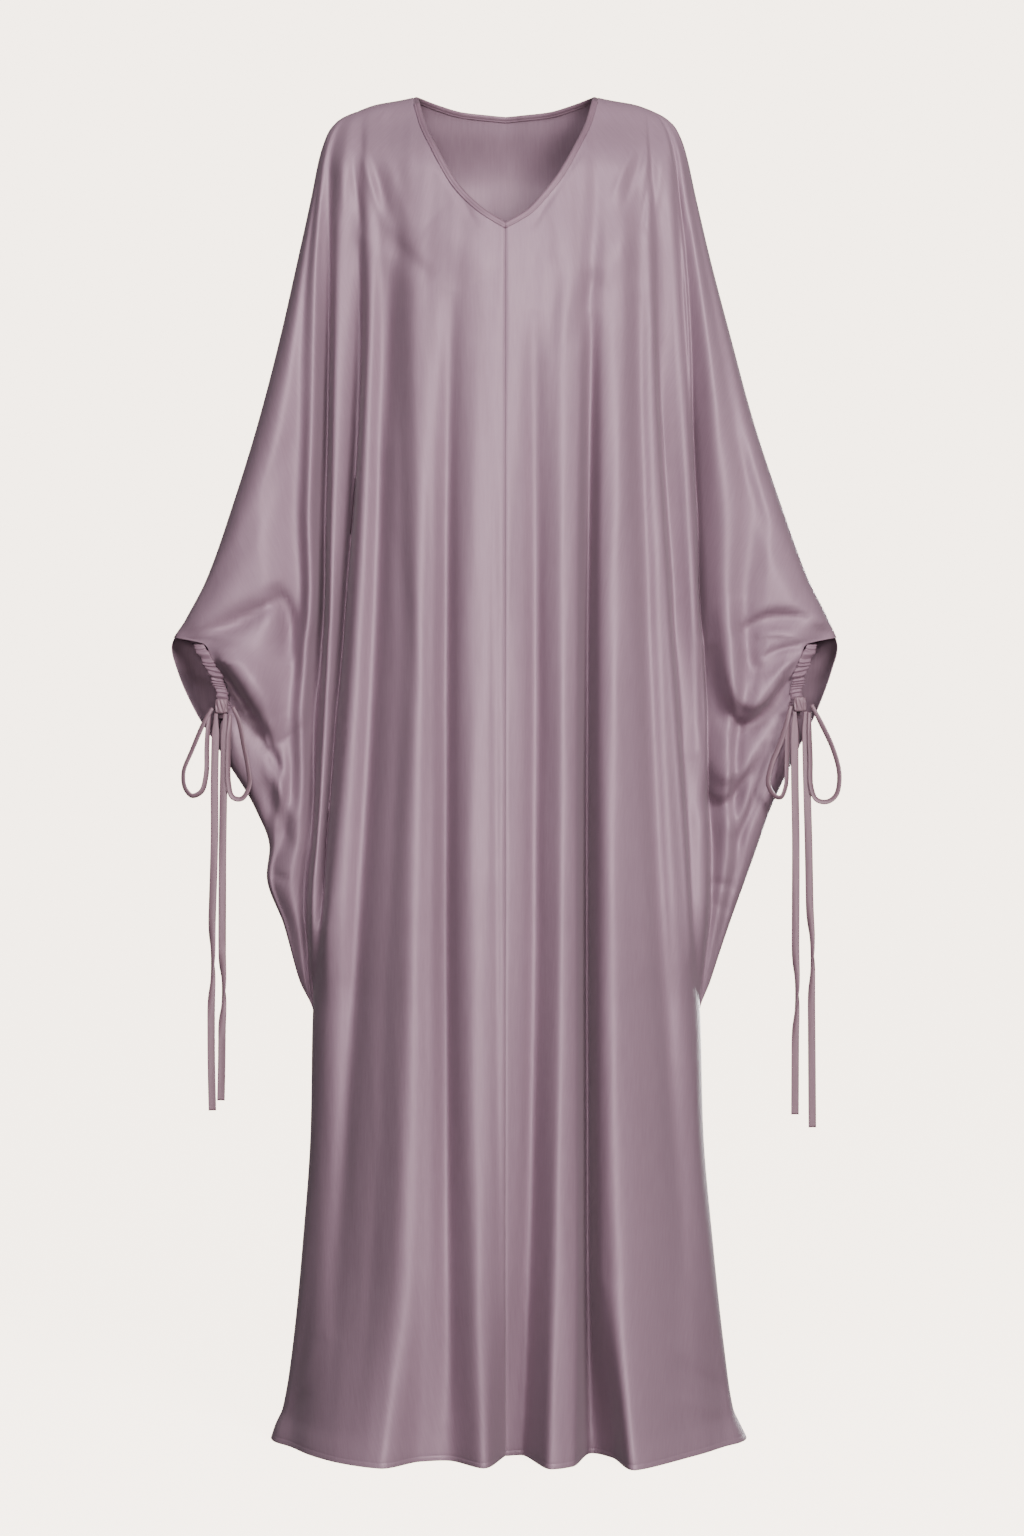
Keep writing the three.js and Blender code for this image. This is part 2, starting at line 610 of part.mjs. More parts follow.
const onShoulder = (point) => Math.abs(point.x) >= NECK_HALF_WIDTH - TINY;

// One side of a panel as a grid of points. Next to the middle and the side seams it stops half a
// gap short, and its normals there lie in the seam's plane.
function panelGrid(layer, heights, { places, inner }, sheet, middle) {
  const half = SEAM_GAP / 2;
  const grid = [];
  heights.forEach((level, row) => {
    grid.push([]);
    places.forEach((place, column) => {
      const sleeved = column > inner;
      if (sleeved && !inSleeve(level)) {
        grid[row].push(grid[row][inner]);
        return;
      }
      let z = level;
      if (!sleeved && level > NECK_FOOT)
        z += ((level - NECK_FOOT) * (layer.top(place) - SLEEVE_HEAD)) / (SLEEVE_HEAD - NECK_FOOT);
      if (column === 0 && middle) {
        grid[row].push(middle[row]);
        return;
      }
      const point = layer.point(place, z);
      let rule = null;
      const atTop = !sleeved && row === heights.length - 1;
      const onSeam = column === places.length - 1 || (column === inner && !inSleeve(level));
      const inOpening = layer.forward < 0 && z < OPENING_TOP - 1 && z > OPENING_FOOT + 1;
      if (column === 0 && !middle && layer.split) {
        point.x = layer.mirror * half;
        rule = flatAcross;
      } else if ((onSeam && !(sleeved && inOpening)) || (atTop && onShoulder(point))) {
        point.y = layer.forward * half;
        rule = flatFrontToBack;
      } else {
        point.y = layer.forward * Math.max(half, layer.forward * point.y);
        if (onSeam && inOpening) rule = straightForward;
        if (row === 0) rule = flatUpDown;
        if (atTop) {
          const normalThere = layer.edgeNormal(Math.abs(point.x), z);
          rule = (normal) => normal.copy(normalThere);
        }
      }
      grid[row].push(sheet.add(point, rule));
    });
  });
  for (let row = 0; row + 1 < grid.length; row += 1)
    for (let column = 0; column + 1 < places.length; column += 1) {
      const [low, high] = [grid[row], grid[row + 1]];
      const quad = [low[column], low[column + 1], high[column + 1], high[column]];
      if (layer.mirror * layer.forward > 0) quad.reverse();
      sheet.quad(...quad);
    }
  return grid;
}

// A band of binding along a panel's neck edge. It starts a gap away from the edge and lies in the
// cloth's own surface; "ends" move its first and last section into the seams' planes.
function bindingBand(points, normals, ends) {
  const middle = new THREE.Vector3(0, 0, 1390);
  const sheet = new Sheet();
  const rows = points.map((point, i) => {
    const end = i === 0 ? ends.first : i === points.length - 1 ? ends.last : null;
    const before = points[Math.max(0, i - 1)];
    const after = points[Math.min(points.length - 1, i + 1)];
    const run = after.clone().sub(before).normalize();
    const inward = normals[i].clone().cross(run).normalize();
    if (inward.dot(middle.clone().sub(point)) < 0) inward.negate();
    const likePanel = (normal) => normal.copy(normals[i]);
    const widths = [0, 0.5, 1].map((share) => (end ? NECK_POINT_GAP : BINDING_GAP) + share * BINDING_WIDTH);
    return widths.map((width, k) => {
      const place = point.clone().addScaledVector(inward, width);
      if (end) place.addScaledVector(run, (end.at - place[end.axis]) / run[end.axis]);
      return sheet.add(place, k === 0 ? likePanel : end ? end.rule : null);
    });
  });
  const lengthwise = points[1].clone().sub(points[0]);
  const over = sheet.points[rows[0][1]].clone().sub(sheet.points[rows[0][0]]);
  const turned = lengthwise.cross(over).dot(normals[0]) < 0;
  for (let i = 0; i + 1 < rows.length; i += 1)
    for (let k = 0; k < 2; k += 1) {
      const quad = [rows[i][k], rows[i + 1][k], rows[i + 1][k + 1], rows[i][k + 1]];
      sheet.quad(...(turned ? quad.reverse() : quad));
    }
  return sheet.wall(BINDING_WALL);
}

// The gathered casing round the front of a sleeve opening, along the panel's own edge.
function casing(layer, side, panelEdge) {
  const sheet = new Sheet();
  const steps = CASING_GATHERS * 3;
  const columns = 3;
  const rows = [];
  for (let i = 0; i <= steps; i += 1) {
    const t = i / steps;
    const z = CASING_TOP + (CASING_FOOT - CASING_TOP) * t;
    const row = FRONT_HEIGHTS.findIndex((height) => height > z) - 1;
    const share = (z - FRONT_HEIGHTS[row]) / (FRONT_HEIGHTS[row + 1] - FRONT_HEIGHTS[row]);
    const seam = panelEdge[row].clone().lerp(panelEdge[row + 1], share);
    seam.x += layer.mirror * SEAM_GAP;
    const inner = Math.abs(seam.x);
    const outer = openingEdge(side, "rim", z);
    const ease = Math.min(1, CASING_ENDS * t, CASING_ENDS * (1 - t));
    rows.push([]);
    for (let k = 0; k < columns; k += 1) {
      if (k === 0) {
        rows[i].push(sheet.add(seam, straightForward));
        continue;
      }
      const x = inner + (k / (columns - 1)) * (outer - inner);
      const wave = Math.sin(2 * Math.PI * CASING_GATHERS * t + k) * CASING_GATHER_DEPTH;
      const y = layer.out(x, z, 0) + wave * ease;
      rows[i].push(sheet.add(new THREE.Vector3(layer.mirror * x, -y, z)));
    }
  }
  for (let i = 0; i < steps; i += 1)
    for (let k = 0; k + 1 < columns; k += 1) {
      const quad = [rows[i][k], rows[i + 1][k], rows[i + 1][k + 1], rows[i][k + 1]];
      if (side === "right") quad.reverse();
      sheet.quad(...quad);
    }
  return sheet.wall(CASING_WALL);
}

// Ties: each side's knot with two loops and two tails. "turn" is how far the ribbon has turned
// about its own length, in half turns, and "back" is how far it lies behind the knot's middle.
const KNOT_HALF = { x: 9.5, y: 6, z: 7.5 };
const TIES = {
  right: {
    knot: { x: -297.5, z: 772.8, forward: 11.4 },
    tails: {
      outer: [
        { x: -303.1, z: 765.2 }, { x: -304.6, z: 700 }, { x: -304.8, z: 632.7 }, { x: -307.6, z: 540 },
        { x: -308, z: 519.8 }, { x: -308, z: 405.8 }, { x: -306.9, z: 349.3 },
      ],
      inner: [
        { x: -293.6, z: 765 }, { x: -295, z: 700 }, { x: -296.1, z: 632.7 }, { x: -296.6, z: 530 },
        { x: -296.6, z: 488.4 }, { x: -297, z: 405.8 }, { x: -297.9, z: 359.8 },
      ],
    },
    twist: { outer: 0.64, inner: 0.72 },
    loops: {
      outer: [
        { x: -308, z: 771.5 }, { x: -316.5, z: 758 }, { x: -330, z: 727 }, { x: -338.8, z: 704 },
        { x: -337, z: 686 }, { x: -328.5, z: 677 }, { x: -317, z: 682 }, { x: -311.5, z: 700 },
        { x: -310.6, z: 730 }, { x: -308.6, z: 766.5 },
      ],
      inner: [
        { x: -286.9, z: 771.5 }, { x: -281, z: 757 }, { x: -276, z: 732 }, { x: -271, z: 706 },
        { x: -270, z: 690 }, { x: -277, z: 677.5 }, { x: -284.5, z: 679 }, { x: -288, z: 692 },
        { x: -288.5, z: 715 }, { x: -286.6, z: 764 },
      ],
    },
  },
  left: {
    knot: { x: 308.5, z: 774.9, forward: 10 },
    tails: {
      outer: [
        { x: 314.3, z: 767.3 }, { x: 315.6, z: 700 }, { x: 317.4, z: 632.7 }, { x: 318.8, z: 560 },
        { x: 319.5, z: 535.5 }, { x: 320.8, z: 430 }, { x: 321.5, z: 331.5 },
      ],
      inner: [
        { x: 303, z: 767.1 }, { x: 303.2, z: 700 }, { x: 304.2, z: 632.7 }, { x: 303.8, z: 520 },
        { x: 303.8, z: 475.9 }, { x: 303.5, z: 400 }, { x: 303.3, z: 345.1 },
      ],
    },
    twist: { outer: 0.58, inner: 0.7 },
    loops: {
      outer: [
        { x: 319.2, z: 773.6 }, { x: 326.8, z: 758.2 }, { x: 341.4, z: 726.8 }, { x: 347.7, z: 700.7 },
        { x: 344.6, z: 680.8 }, { x: 336.2, z: 674.5 }, { x: 326.8, z: 676.6 }, { x: 321.9, z: 690.2 },
        { x: 321.4, z: 716.4 }, { x: 319.7, z: 766.5 },
      ],
      inner: [
        { x: 297.8, z: 773.6 }, { x: 287, z: 737.3 }, { x: 276.6, z: 711.1 }, { x: 273.5, z: 690.2 },
        { x: 281.8, z: 676.6 }, { x: 289.5, z: 675.8 }, { x: 295.3, z: 688 }, { x: 296.6, z: 716.4 },
        { x: 297.4, z: 764 },
      ],
    },
  },
};
const TAIL_FORWARD = 3.5;
const LOOP_FORWARD = 4.5;
const RIBBON_STEPS = 20;
const RIBBON_BEVEL = 0.5;
// A tail turns over by half a turn within this share of its length on both sides of its twist.
const TWIST_REACH = 0.14;
const KNOT_SQUARENESS = 4;

// A knot: a rounded block, squarer than a ball, wrapped by the ribbon.
function knotBlock(x, y, z) {
  const block = new THREE.SphereGeometry(1, 12, 7);
  const positions = block.getAttribute("position");
  for (let i = 0; i < positions.count; i += 1) {
    const p = new THREE.Vector3().fromBufferAttribute(positions, i);
    const sum = p.toArray().reduce((total, part) => total + Math.abs(part) ** KNOT_SQUARENESS, 0);
    p.multiplyScalar(sum ** (-1 / KNOT_SQUARENESS));
    positions.setXYZ(i, x + p.x * KNOT_HALF.x, y + p.y * KNOT_HALF.y, z + p.z * KNOT_HALF.z);
  }
  return block;
}

// A flat ribbon along a path. It is extruded straight and then bent, and "turnAt" gives the half
// turns that its width has made at a share of its length; at none its width lies across.
function ribbon(path, turnAt) {
  const curve = new THREE.CatmullRomCurve3(path, false, "centripetal");
  const w = RIBBON_WIDTH / 2;
  const h = RIBBON_THICKNESS / 2;
  const bevel = RIBBON_BEVEL;
  const corners = [
    [-w, -h + bevel], [-w + bevel, -h], [w - bevel, -h], [w, -h + bevel],
    [w, h - bevel], [w - bevel, h], [-w + bevel, h], [-w, h - bevel],
  ];
  const section = new THREE.Shape(corners.map(([x, y]) => new THREE.Vector2(x, y)));
  const straight = { depth: 1, steps: RIBBON_STEPS, bevelEnabled: false };
  const geometry = new THREE.ExtrudeGeometry(section, straight);
  const positions = geometry.getAttribute("position");
  const frontal = new THREE.Vector3(0, -1, 0);
  const cache = new Map();
  for (let i = 0; i < positions.count; i += 1) {
    const t = positions.getZ(i);
    const key = Math.round(t * RIBBON_STEPS);
    if (!cache.has(key)) {
      const tangent = curve.getTangentAt(t).normalize();
      const across = frontal.clone().cross(tangent).normalize();
      const turned = across.applyAxisAngle(tangent, Math.PI * turnAt(t));
      cache.set(key, { middle: curve.getPointAt(t), turned, deep: tangent.clone().cross(turned) });
    }
    const { middle, turned, deep } = cache.get(key);
    const point = middle.clone().addScaledVector(turned, positions.getX(i));
    point.addScaledVector(deep, positions.getY(i));
    positions.setXYZ(i, point.x, point.y, point.z);
  }
  return geometry;
}

const group = new THREE.Group();
const addNode = (name, geometry, finish) => {
  geometry.translate(0, 0, -NECK_POINT_HEIGHT);
  const mesh = new THREE.Mesh(geometry, new THREE.MeshStandardMaterial(finish));
  mesh.name = name;
  group.add(mesh);
};

// The numbers of the points along a panel's neck edge, from the middle outwards.
const topEdge = (grid, places, layer) => {
  const row = grid[grid.length - 1];
  return row.filter((_, column) => {
    const inBody = places[column] <= layer.bodyCount;
    return inBody && layer.x(places[column], SLEEVE_HEAD) <= NECK_HALF_WIDTH + TINY;
  });
};

const MIDDLE_PLANES = { right: -SEAM_GAP / 2, left: SEAM_GAP / 2 };
for (const side of ["right", "left"]) {
  const layer = { ...makeLayer(side, "front"), split: true };
  const samples = samplePlaces(layer, 3, 1);
  const sheet = new Sheet();
  const grid = panelGrid(layer, FRONT_HEIGHTS, samples, sheet, null);
  addNode(`front_${side}`, sheet.wall(WALL), SATIN);

  const edge = topEdge(grid, samples.places, layer);
  const normals = sheet.normals();
  const ends = {
    first: { axis: "x", at: MIDDLE_PLANES[side], rule: flatAcross },
    last: { axis: "y", at: -SEAM_GAP / 2, rule: flatFrontToBack },
  };
  const band = bindingBand(edge.map((v) => sheet.points[v]), edge.map((v) => normals[v]), ends);
  addNode(`neck_binding_${side}`, band, BINDING_SATIN);
  const panelEdge = grid.map((row) => sheet.points[row[row.length - 1]]);
  addNode(`cuff_casing_${side}`, casing(layer, side, panelEdge), SATIN);

  const ties = TIES[side];
  const knotY = -layer.out(Math.abs(ties.knot.x), ties.knot.z, 0) - ties.knot.forward;
  addNode(`knot_${side}`, knotBlock(ties.knot.x, knotY, ties.knot.z), TIE_SATIN);
  for (const which of ["outer", "inner"]) {
    const tail = ties.tails[which].map(({ x, z }) => new THREE.Vector3(x, knotY - TAIL_FORWARD, z));
    const start = ties.twist[which] - TWIST_REACH;
    const turnAt = (t) => smoothStep(start, start + 2 * TWIST_REACH, t);
    addNode(`tie_tail_${which}_${side}`, ribbon(tail, turnAt), TIE_SATIN);
    const loop = ties.loops[which].map(({ x, z }) => new THREE.Vector3(x, knotY - LOOP_FORWARD, z));
    addNode(`tie_loop_${which}_${side}`, ribbon(loop, () => 0.5), TIE_SATIN);
  }
}

const backSheet = new Sheet();
const backRight = makeLayer("right", "back");
const backSamples = samplePlaces(backRight, 2, 1);
const gridRight = panelGrid(backRight, BACK_HEIGHTS, backSamples, backSheet, null);
const backLeft = makeLayer("left", "back");
const leftSamples = samplePlaces(backLeft, 2, 1);
const middleColumn = gridRight.map((row) => row[0]);
const gridLeft = panelGrid(backLeft, BACK_HEIGHTS, leftSamples, backSheet, middleColumn);
addNode("back", backSheet.wall(WALL), SATIN);

const backNormals = backSheet.normals();
const rightEdge = topEdge(gridRight, backSamples.places, backRight).reverse();
const leftEdge = topEdge(gridLeft, leftSamples.places, backLeft).slice(1);
const backEdge = [...rightEdge, ...leftEdge];
const backEnd = { axis: "y", at: SEAM_GAP / 2, rule: flatFrontToBack };
const backBand = bindingBand(
  backEdge.map((v) => backSheet.points[v]),
  backEdge.map((v) => backNormals[v]),
  { first: backEnd, last: backEnd },
);
addNode("neck_binding_back", backBand, BINDING_SATIN);

export default group;
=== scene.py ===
"""An abaya of mauve satin, dressed over its fixed model: panels with their folds and creases,
bound neck, gathered wrist casings and ribbon bows, on a pale floor in soft studio light.

Sizes in the tables are in millimetres and heights are above the floor, as a maker measures the
robe on a stand. Meshes are in metres, with the origin between the two neck points.
"""

import logging  # noqa: E402
import math  # noqa: E402
from dataclasses import dataclass, field  # noqa: E402
from enum import Enum  # noqa: E402
from typing import NamedTuple, Sequence  # noqa: E402

import bmesh  # noqa: E402
import bpy  # noqa: E402
import numpy as np  # noqa: E402
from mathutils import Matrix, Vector  # noqa: E402


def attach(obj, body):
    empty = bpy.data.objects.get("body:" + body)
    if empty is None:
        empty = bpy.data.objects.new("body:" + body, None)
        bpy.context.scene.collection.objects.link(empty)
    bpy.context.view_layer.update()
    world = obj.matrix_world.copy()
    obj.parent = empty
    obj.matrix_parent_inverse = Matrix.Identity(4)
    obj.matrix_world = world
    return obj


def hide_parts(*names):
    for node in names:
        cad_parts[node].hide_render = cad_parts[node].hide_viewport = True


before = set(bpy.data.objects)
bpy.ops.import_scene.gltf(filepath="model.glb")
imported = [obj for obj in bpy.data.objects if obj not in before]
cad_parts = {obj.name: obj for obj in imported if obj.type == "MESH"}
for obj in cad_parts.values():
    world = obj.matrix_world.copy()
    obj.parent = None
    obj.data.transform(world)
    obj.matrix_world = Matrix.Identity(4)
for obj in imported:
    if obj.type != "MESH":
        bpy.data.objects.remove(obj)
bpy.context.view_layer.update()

log = logging.getLogger("abaya")
Array = np.ndarray

MM = 0.001
MERGE_DISTANCE = 0.02 * MM
NECK_POINT_HEIGHT = 1420.0


class Side(Enum):
    """The wearer's side that a piece belongs to, with its sign along X."""

    RIGHT = -1
    LEFT = 1


class Layer(Enum):
    """The front or the back of the robe, with its sign along Y."""

    FRONT = -1
    BACK = 1


class Level(NamedTuple):
    """Half widths and depths of the robe at one height."""

    z: float
    right: float
    left: float
    body_right: float
    body_left: float
    front: float
    back: float
    sleeve: float


class Fold(NamedTuple):
    """One fold of the body: its distance from the middle and how deep it lies, hem last."""

    name: str
    across: Sequence[float]
    deep: Sequence[float]


class SleeveFold(NamedTuple):
    """One fold of the sleeve: its share of the sleeve's width and how deep it lies."""

    name: str
    share: Sequence[float]
    deep: Sequence[float]


class Crease(NamedTuple):
    """A trough or ridge along a bend, from its start to its end and drawn towards its via."""

    name: str
    start: tuple[float, float]
    via: tuple[float, float]
    end: tuple[float, float]
    out: float
    above: float
    below: float


class Edge(NamedTuple):
    """A point of an edge: its distance from the middle and its height."""

    x: float
    z: float


class Rim(NamedTuple):
    """The sleeve opening at one height: its free rim, the panel's edge and the left one's shift."""

    z: float
    rim: float
    panel: float
    left_shift: float


# The robe's measures from the floor up: half widths of the outline and of the body under the
# sleeves, then how far the front, the back and the sleeve stand out from the side seams.
LEVELS = (
    Level(0, 248, 255, 248, 255, 208, 196, 10),
    Level(12, 244, 249, 244, 249, 207, 195, 10),
    Level(30, 236, 241, 236, 241, 205, 193, 10),
    Level(90, 226, 232, 226, 232, 200, 188, 10),
    Level(200, 215, 220, 215, 220, 191, 178, 10),
    Level(330, 206, 209, 206, 209, 180, 166, 10),
    Level(444, 204, 206, 204, 206, 170, 155, 9),
    Level(484, 219, 218, 199, 202, 166, 151, 15),
    Level(542, 235, 237, 193, 197, 160, 145, 22),
    Level(595, 253, 256, 190, 194, 156, 140, 28),
    Level(623, 250, 266, 189, 193, 153, 137, 30),
    Level(663, 264, 280, 186, 191, 149, 132, 33),
    Level(727, 303, 310, 182, 187, 144, 125, 37),
    Level(769, 330, 331, 179, 185, 141, 121, 39),
    Level(812, 349, 347, 175, 182, 137, 118, 41),
    Level(836, 355, 353, 173, 180, 135, 116, 42),
    Level(865, 339, 342, 171, 178, 133, 114, 43),
    Level(907, 317, 321, 168, 176, 131, 112, 44),
    Level(992, 287, 290, 160, 170, 127, 107, 46),
    Level(1077, 261, 262, 154, 164, 124, 103, 48),
    Level(1162, 239, 239, 152, 161, 121, 101, 50),
    Level(1246, 220, 217, 154, 160, 113, 100, 51),
    Level(1310, 206, 202, 154, 156, 98, 98, 52),
    Level(1358, 196, 191, 152, 152, 86, 96, 52),
    Level(1384, 186, 180, 152, 151, 80, 96, 52),
    Level(1396, 174, 168, 151, 150, 77, 96, 52),
    Level(1404, 157, 154, 157, 154, 75, 96, 52),
)
CREST = (
    Edge(0, 1456), Edge(60, 1433), Edge(98, 1418), Edge(112, 1415), Edge(137, 1410.5),
    Edge(155.5, 1404), Edge(174, 1396), Edge(186, 1384), Edge(196, 1358), Edge(206, 1310),
    Edge(239, 1162),
)
FRONT_NECK = (
    Edge(0, 1266), Edge(10, 1272.5), Edge(23, 1282), Edge(38, 1298), Edge(58, 1322), Edge(77, 1354),
    Edge(89, 1381), Edge(98, 1418),
)
BACK_NECK = (Edge(0, 1403), Edge(47, 1406), Edge(76, 1412), Edge(98, 1418))
# Folds that both sides share: the robe's middle and the sleeve's free edge.
CENTRE_SEAM = Fold("centre seam", (0,) * 6, (0, 0, 1, 4, 24, 83))
CENTRE_BACK = Fold("centre back", (0,) * 6, (0, 2, 8, 14, 22, 34))
OUTLINE = SleeveFold("outline", (1,) * 8, (0,) * 8)
FRONT_FOLDS = {
    Side.RIGHT: (
        CENTRE_SEAM,
        Fold("ridge by the seam", (22, 26, 32, 33, 28, 22), (0, -2, -5, -7, -5, 8)),
        Fold("first valley", (45, 54, 62, 62, 58, 58), (0, 2, 12, 18, 26, 50)),
        Fold("valley's side", (69, 72, 76, 78, 80, 86), (0, 0, 3, 5, 8, 38)),
        Fold("broad ridge", (98, 93, 90, 96, 106, 128), (0, -3, -6, -8, -10, -21)),
        Fold("plane to the side", (115, 112, 110, 122, 140, 162), (0, 6, 11, 12, 13, -16)),
        Fold("side valley", (133, 128, 132, 150, 172, 196), (0, 10, 18, 22, 22, 0)),
        Fold("body's edge", (144, 143, 158, 183, 200, 226), (0, 1, 0, 2, 14, 22)),
    ),
    Side.LEFT: (
        CENTRE_SEAM,
        Fold("seam valley", (26, 31, 33, 33, 24, 17), (0, 3, 12, 18, 46, 88)),
        Fold("narrow ridge", (56, 59, 59, 58, 52, 46), (0, -2, -6, -7, -4, 0)),
        Fold("ridge's lip", (78, 76, 73, 71, 71, 68), (0, 0, 0, 2, 8, 12)),
        Fold("deep valley", (98, 89, 85, 84, 84, 88), (0, 8, 22, 36, 60, 88)),
        Fold("valley's side", (111, 103, 99, 96, 100, 110), (0, 0, 4, 6, 10, 54)),
        Fold("broad ridge", (124, 121, 117, 113, 121, 131), (0, -5, -8, -9, -14, -31)),
        Fold("side valley", (138, 138, 148, 160, 184, 190), (0, 3, 9, 12, 14, 9)),
        Fold("body's edge", (146, 151, 165, 188, 206, 230), (0, -3, -4, -1, 8, 26)),
    ),
}
BACK_FOLDS = {
    Side.RIGHT: (
        CENTRE_BACK,
        Fold("centre ridge", (36, 32, 30, 32, 36, 42), (0, -2, -3, -4, -5, -6)),
        Fold("back valley", (64, 60, 58, 64, 72, 84), (0, 3, 9, 14, 24, 44)),
        Fold("broad ridge", (98, 91, 88, 96, 108, 128), (0, -3, -5, -7, -9, -14)),
        Fold("side valley", (124, 116, 118, 136, 158, 184), (0, 3, 8, 12, 18, 26)),
        Fold("body's edge", (144, 139, 148, 173, 198, 230), (0, 0, -1, 2, 8, 14)),
    ),
    Side.LEFT: (
        CENTRE_BACK,
        Fold("centre ridge", (36, 36, 38, 40, 44, 52), (0, -2, -3, -5, -6, -8)),
        Fold("back valley", (64, 66, 68, 74, 82, 96), (0, 4, 10, 16, 28, 50)),
        Fold("broad ridge", (98, 95, 96, 104, 118, 138), (0, -3, -5, -6, -8, -12)),
        Fold("side valley", (124, 121, 126, 144, 166, 192), (0, 2, 6, 9, 14, 20)),
        Fold("body's edge", (144, 146, 156, 177, 202, 236), (0, 0, -1, 2, 8, 14)),
    ),
}
FRONT_SLEEVE_FOLDS = {
    Side.RIGHT: (
        SleeveFold("body valley", (0, 0, 0, 0, 0, 0, 0, 0), (5, 14, 26, 30, 28, 22, 8, 0)),
        SleeveFold("inner ridge", (0.33, 0.27, 0.17, 0.075, 0.1, 0.16, 0.28, 0.3),
                   (0, -2, -3, -3, -2, -1, 0, 0)),
        SleeveFold("shoulder valley", (0.67, 0.42, 0.265, 0.14, 0.19, 0.29, 0.44, 0.46),
                   (7, 17, 25, 27, 25, 18, 5, 0)),
        SleeveFold("outer ridge", (0.83, 0.55, 0.36, 0.215, 0.31, 0.56, 0.66, 0.68),
                   (0, -2, -4, -4, -3, -4, -2, 0)),
        SleeveFold("arm valley", (0.9, 0.68, 0.47, 0.3, 0.47, 0.86, 0.88, 0.88),
                   (0, 6, 12, 14, 12, 4, 0, 0)),
        SleeveFold("arm ridge", (0.95, 0.83, 0.78, 0.6, 0.72, 0.94, 0.95, 0.95),
                   (0, -3, -6, -4, 0, 0, 0, 0)),
        OUTLINE,
    ),
    Side.LEFT: (
        SleeveFold("body valley", (0, 0, 0, 0, 0, 0, 0, 0), (4, 12, 24, 30, 28, 17, 6, 0)),
        SleeveFold("inner ridge", (0.5, 0.36, 0.225, 0.15, 0.195, 0.25, 0.3, 0.3),
                   (-1, -4, -6, -6, -5, -3, 0, 0)),
        SleeveFold("shoulder valley", (0.62, 0.44, 0.28, 0.19, 0.26, 0.38, 0.46, 0.46),
                   (6, 16, 24, 26, 24, 11, 3, 0)),
        SleeveFold("outer ridge", (0.77, 0.64, 0.49, 0.37, 0.47, 0.58, 0.66, 0.66),
                   (0, -3, -6, -6, -4, -3, 0, 0)),
        SleeveFold("arm valley", (0.87, 0.8, 0.71, 0.52, 0.62, 0.75, 0.82, 0.82),
                   (1, 3, 6, 8, 8, 5, 0, 0)),
        SleeveFold("arm ridge", (0.94, 0.92, 0.86, 0.74, 0.8, 0.88, 0.92, 0.92),
                   (0, -1, -2, -3, 0, 0, 0, 0)),
        OUTLINE,
    ),
}
BACK_SLEEVE_FOLDS = (
    SleeveFold("body valley", (0, 0, 0, 0, 0, 0, 0, 0), (4, 12, 22, 26, 24, 18, 7, 0)),
    SleeveFold("inner ridge", (0.5, 0.34, 0.23, 0.16, 0.22, 0.3, 0.4, 0.4),
               (0, -2, -4, -4, -3, -2, 0, 0)),
    SleeveFold("arm valley", (0.72, 0.58, 0.44, 0.36, 0.44, 0.56, 0.66, 0.66),
               (1, 6, 12, 14, 12, 7, 2, 0)),
    SleeveFold("arm ridge", (0.9, 0.82, 0.74, 0.66, 0.72, 0.82, 0.88, 0.88),
               (0, -3, -5, -5, -3, 0, 0, 0)),
    OUTLINE,
)
OPENING = (
    Rim(846, 351, 351, 0), Rim(838, 329, 316, 0), Rim(826, 323, 309, 1), Rim(814, 317, 303, 3),
    Rim(802, 311, 297, 5), Rim(790, 306, 292, 7), Rim(778, 303, 290, 9), Rim(766, 303, 292, 9),
    Rim(754, 306, 300, 8), Rim(728, 303, 303, 8),
)
SWAGS = {
    Side.RIGHT: (
        Crease("hollow over the swag", (318, 850), (285, 862), (240, 886), -9, 10, 12),
        Crease("swag", (305, 838), (276, 800), (234, 738), 21, 32, 8),
        Crease("hollow under the swag", (300, 806), (268, 756), (240, 706), -9, 8, 26),
        Crease("low crease", (286, 752), (262, 700), (240, 640), 6, 9, 9),
    ),
    Side.LEFT: (
        Crease("hollow over the swag", (306, 850), (288, 874), (240, 842), -9, 10, 11),
        Crease("swag", (309, 835), (232, 694), (228, 886), 18, 30, 9),
        Crease("hollow under the swag", (302, 806), (224, 654), (216, 840), -9, 8, 24),
        Crease("low crease", (292, 744), (264, 700), (238, 636), 6, 9, 9),
    ),
}

CREST_ROUNDING = 210.0
CREST_TAKES_OVER = (1330, 1395)
CREST_FOOT = 1380.0
EDGE_ROUNDING = 40.0
NECK_HALF_WIDTH = 98.0
NECK_MIDDLE = (0, 0, 1390.0)
TOUCHING = 0.01
BODY_HEIGHTS = (1404, 1200, 920, 570, 200, 0)
SLEEVE_HEIGHTS = (1340, 1150, 992, 844, 716, 600, 500, 444)
SLEEVE_FOOT = 444.0
SLEEVE_HEAD = 1404.0
SLEEVE_FOLDS_END = 1350.0
SLEEVE_THICKENS_BY = SLEEVE_FOOT + 60
NECK_FOOT = 1180.0
OPENING_TOP = 846.0
OPENING_FOOT = 728.0
BINDING_END = 0.05
CASING_TOP = 836.0
CASING_FOOT = 762.0

# How far the tie draws the front of a sleeve in, and the heights where that starts and ends.
DRAWN_IN = 58.0
DRAWN_IN_BELOW = (980, 810)
DRAWN_IN_ABOVE = (600, 770)

# The body's section: how square it is, how far it runs on under the sleeve and at the chest, and
# how softly it goes over into the sleeve.
SQUARENESS = 2.1
UNDER_SLEEVE = 22.0
UNDER_SLEEVE_BY = SLEEVE_FOOT + 130
CHEST_WIDENING = 20.0
CHEST = (1150, 1380)
SLEEVE_BLEND = 18.0

# Body folds stay within this share of the body's width, the last ones a little further out.
FOLD_ROOM = 0.9
FOLD_ROOM_GAIN = 0.09
EDGE_SHARE = 0.75

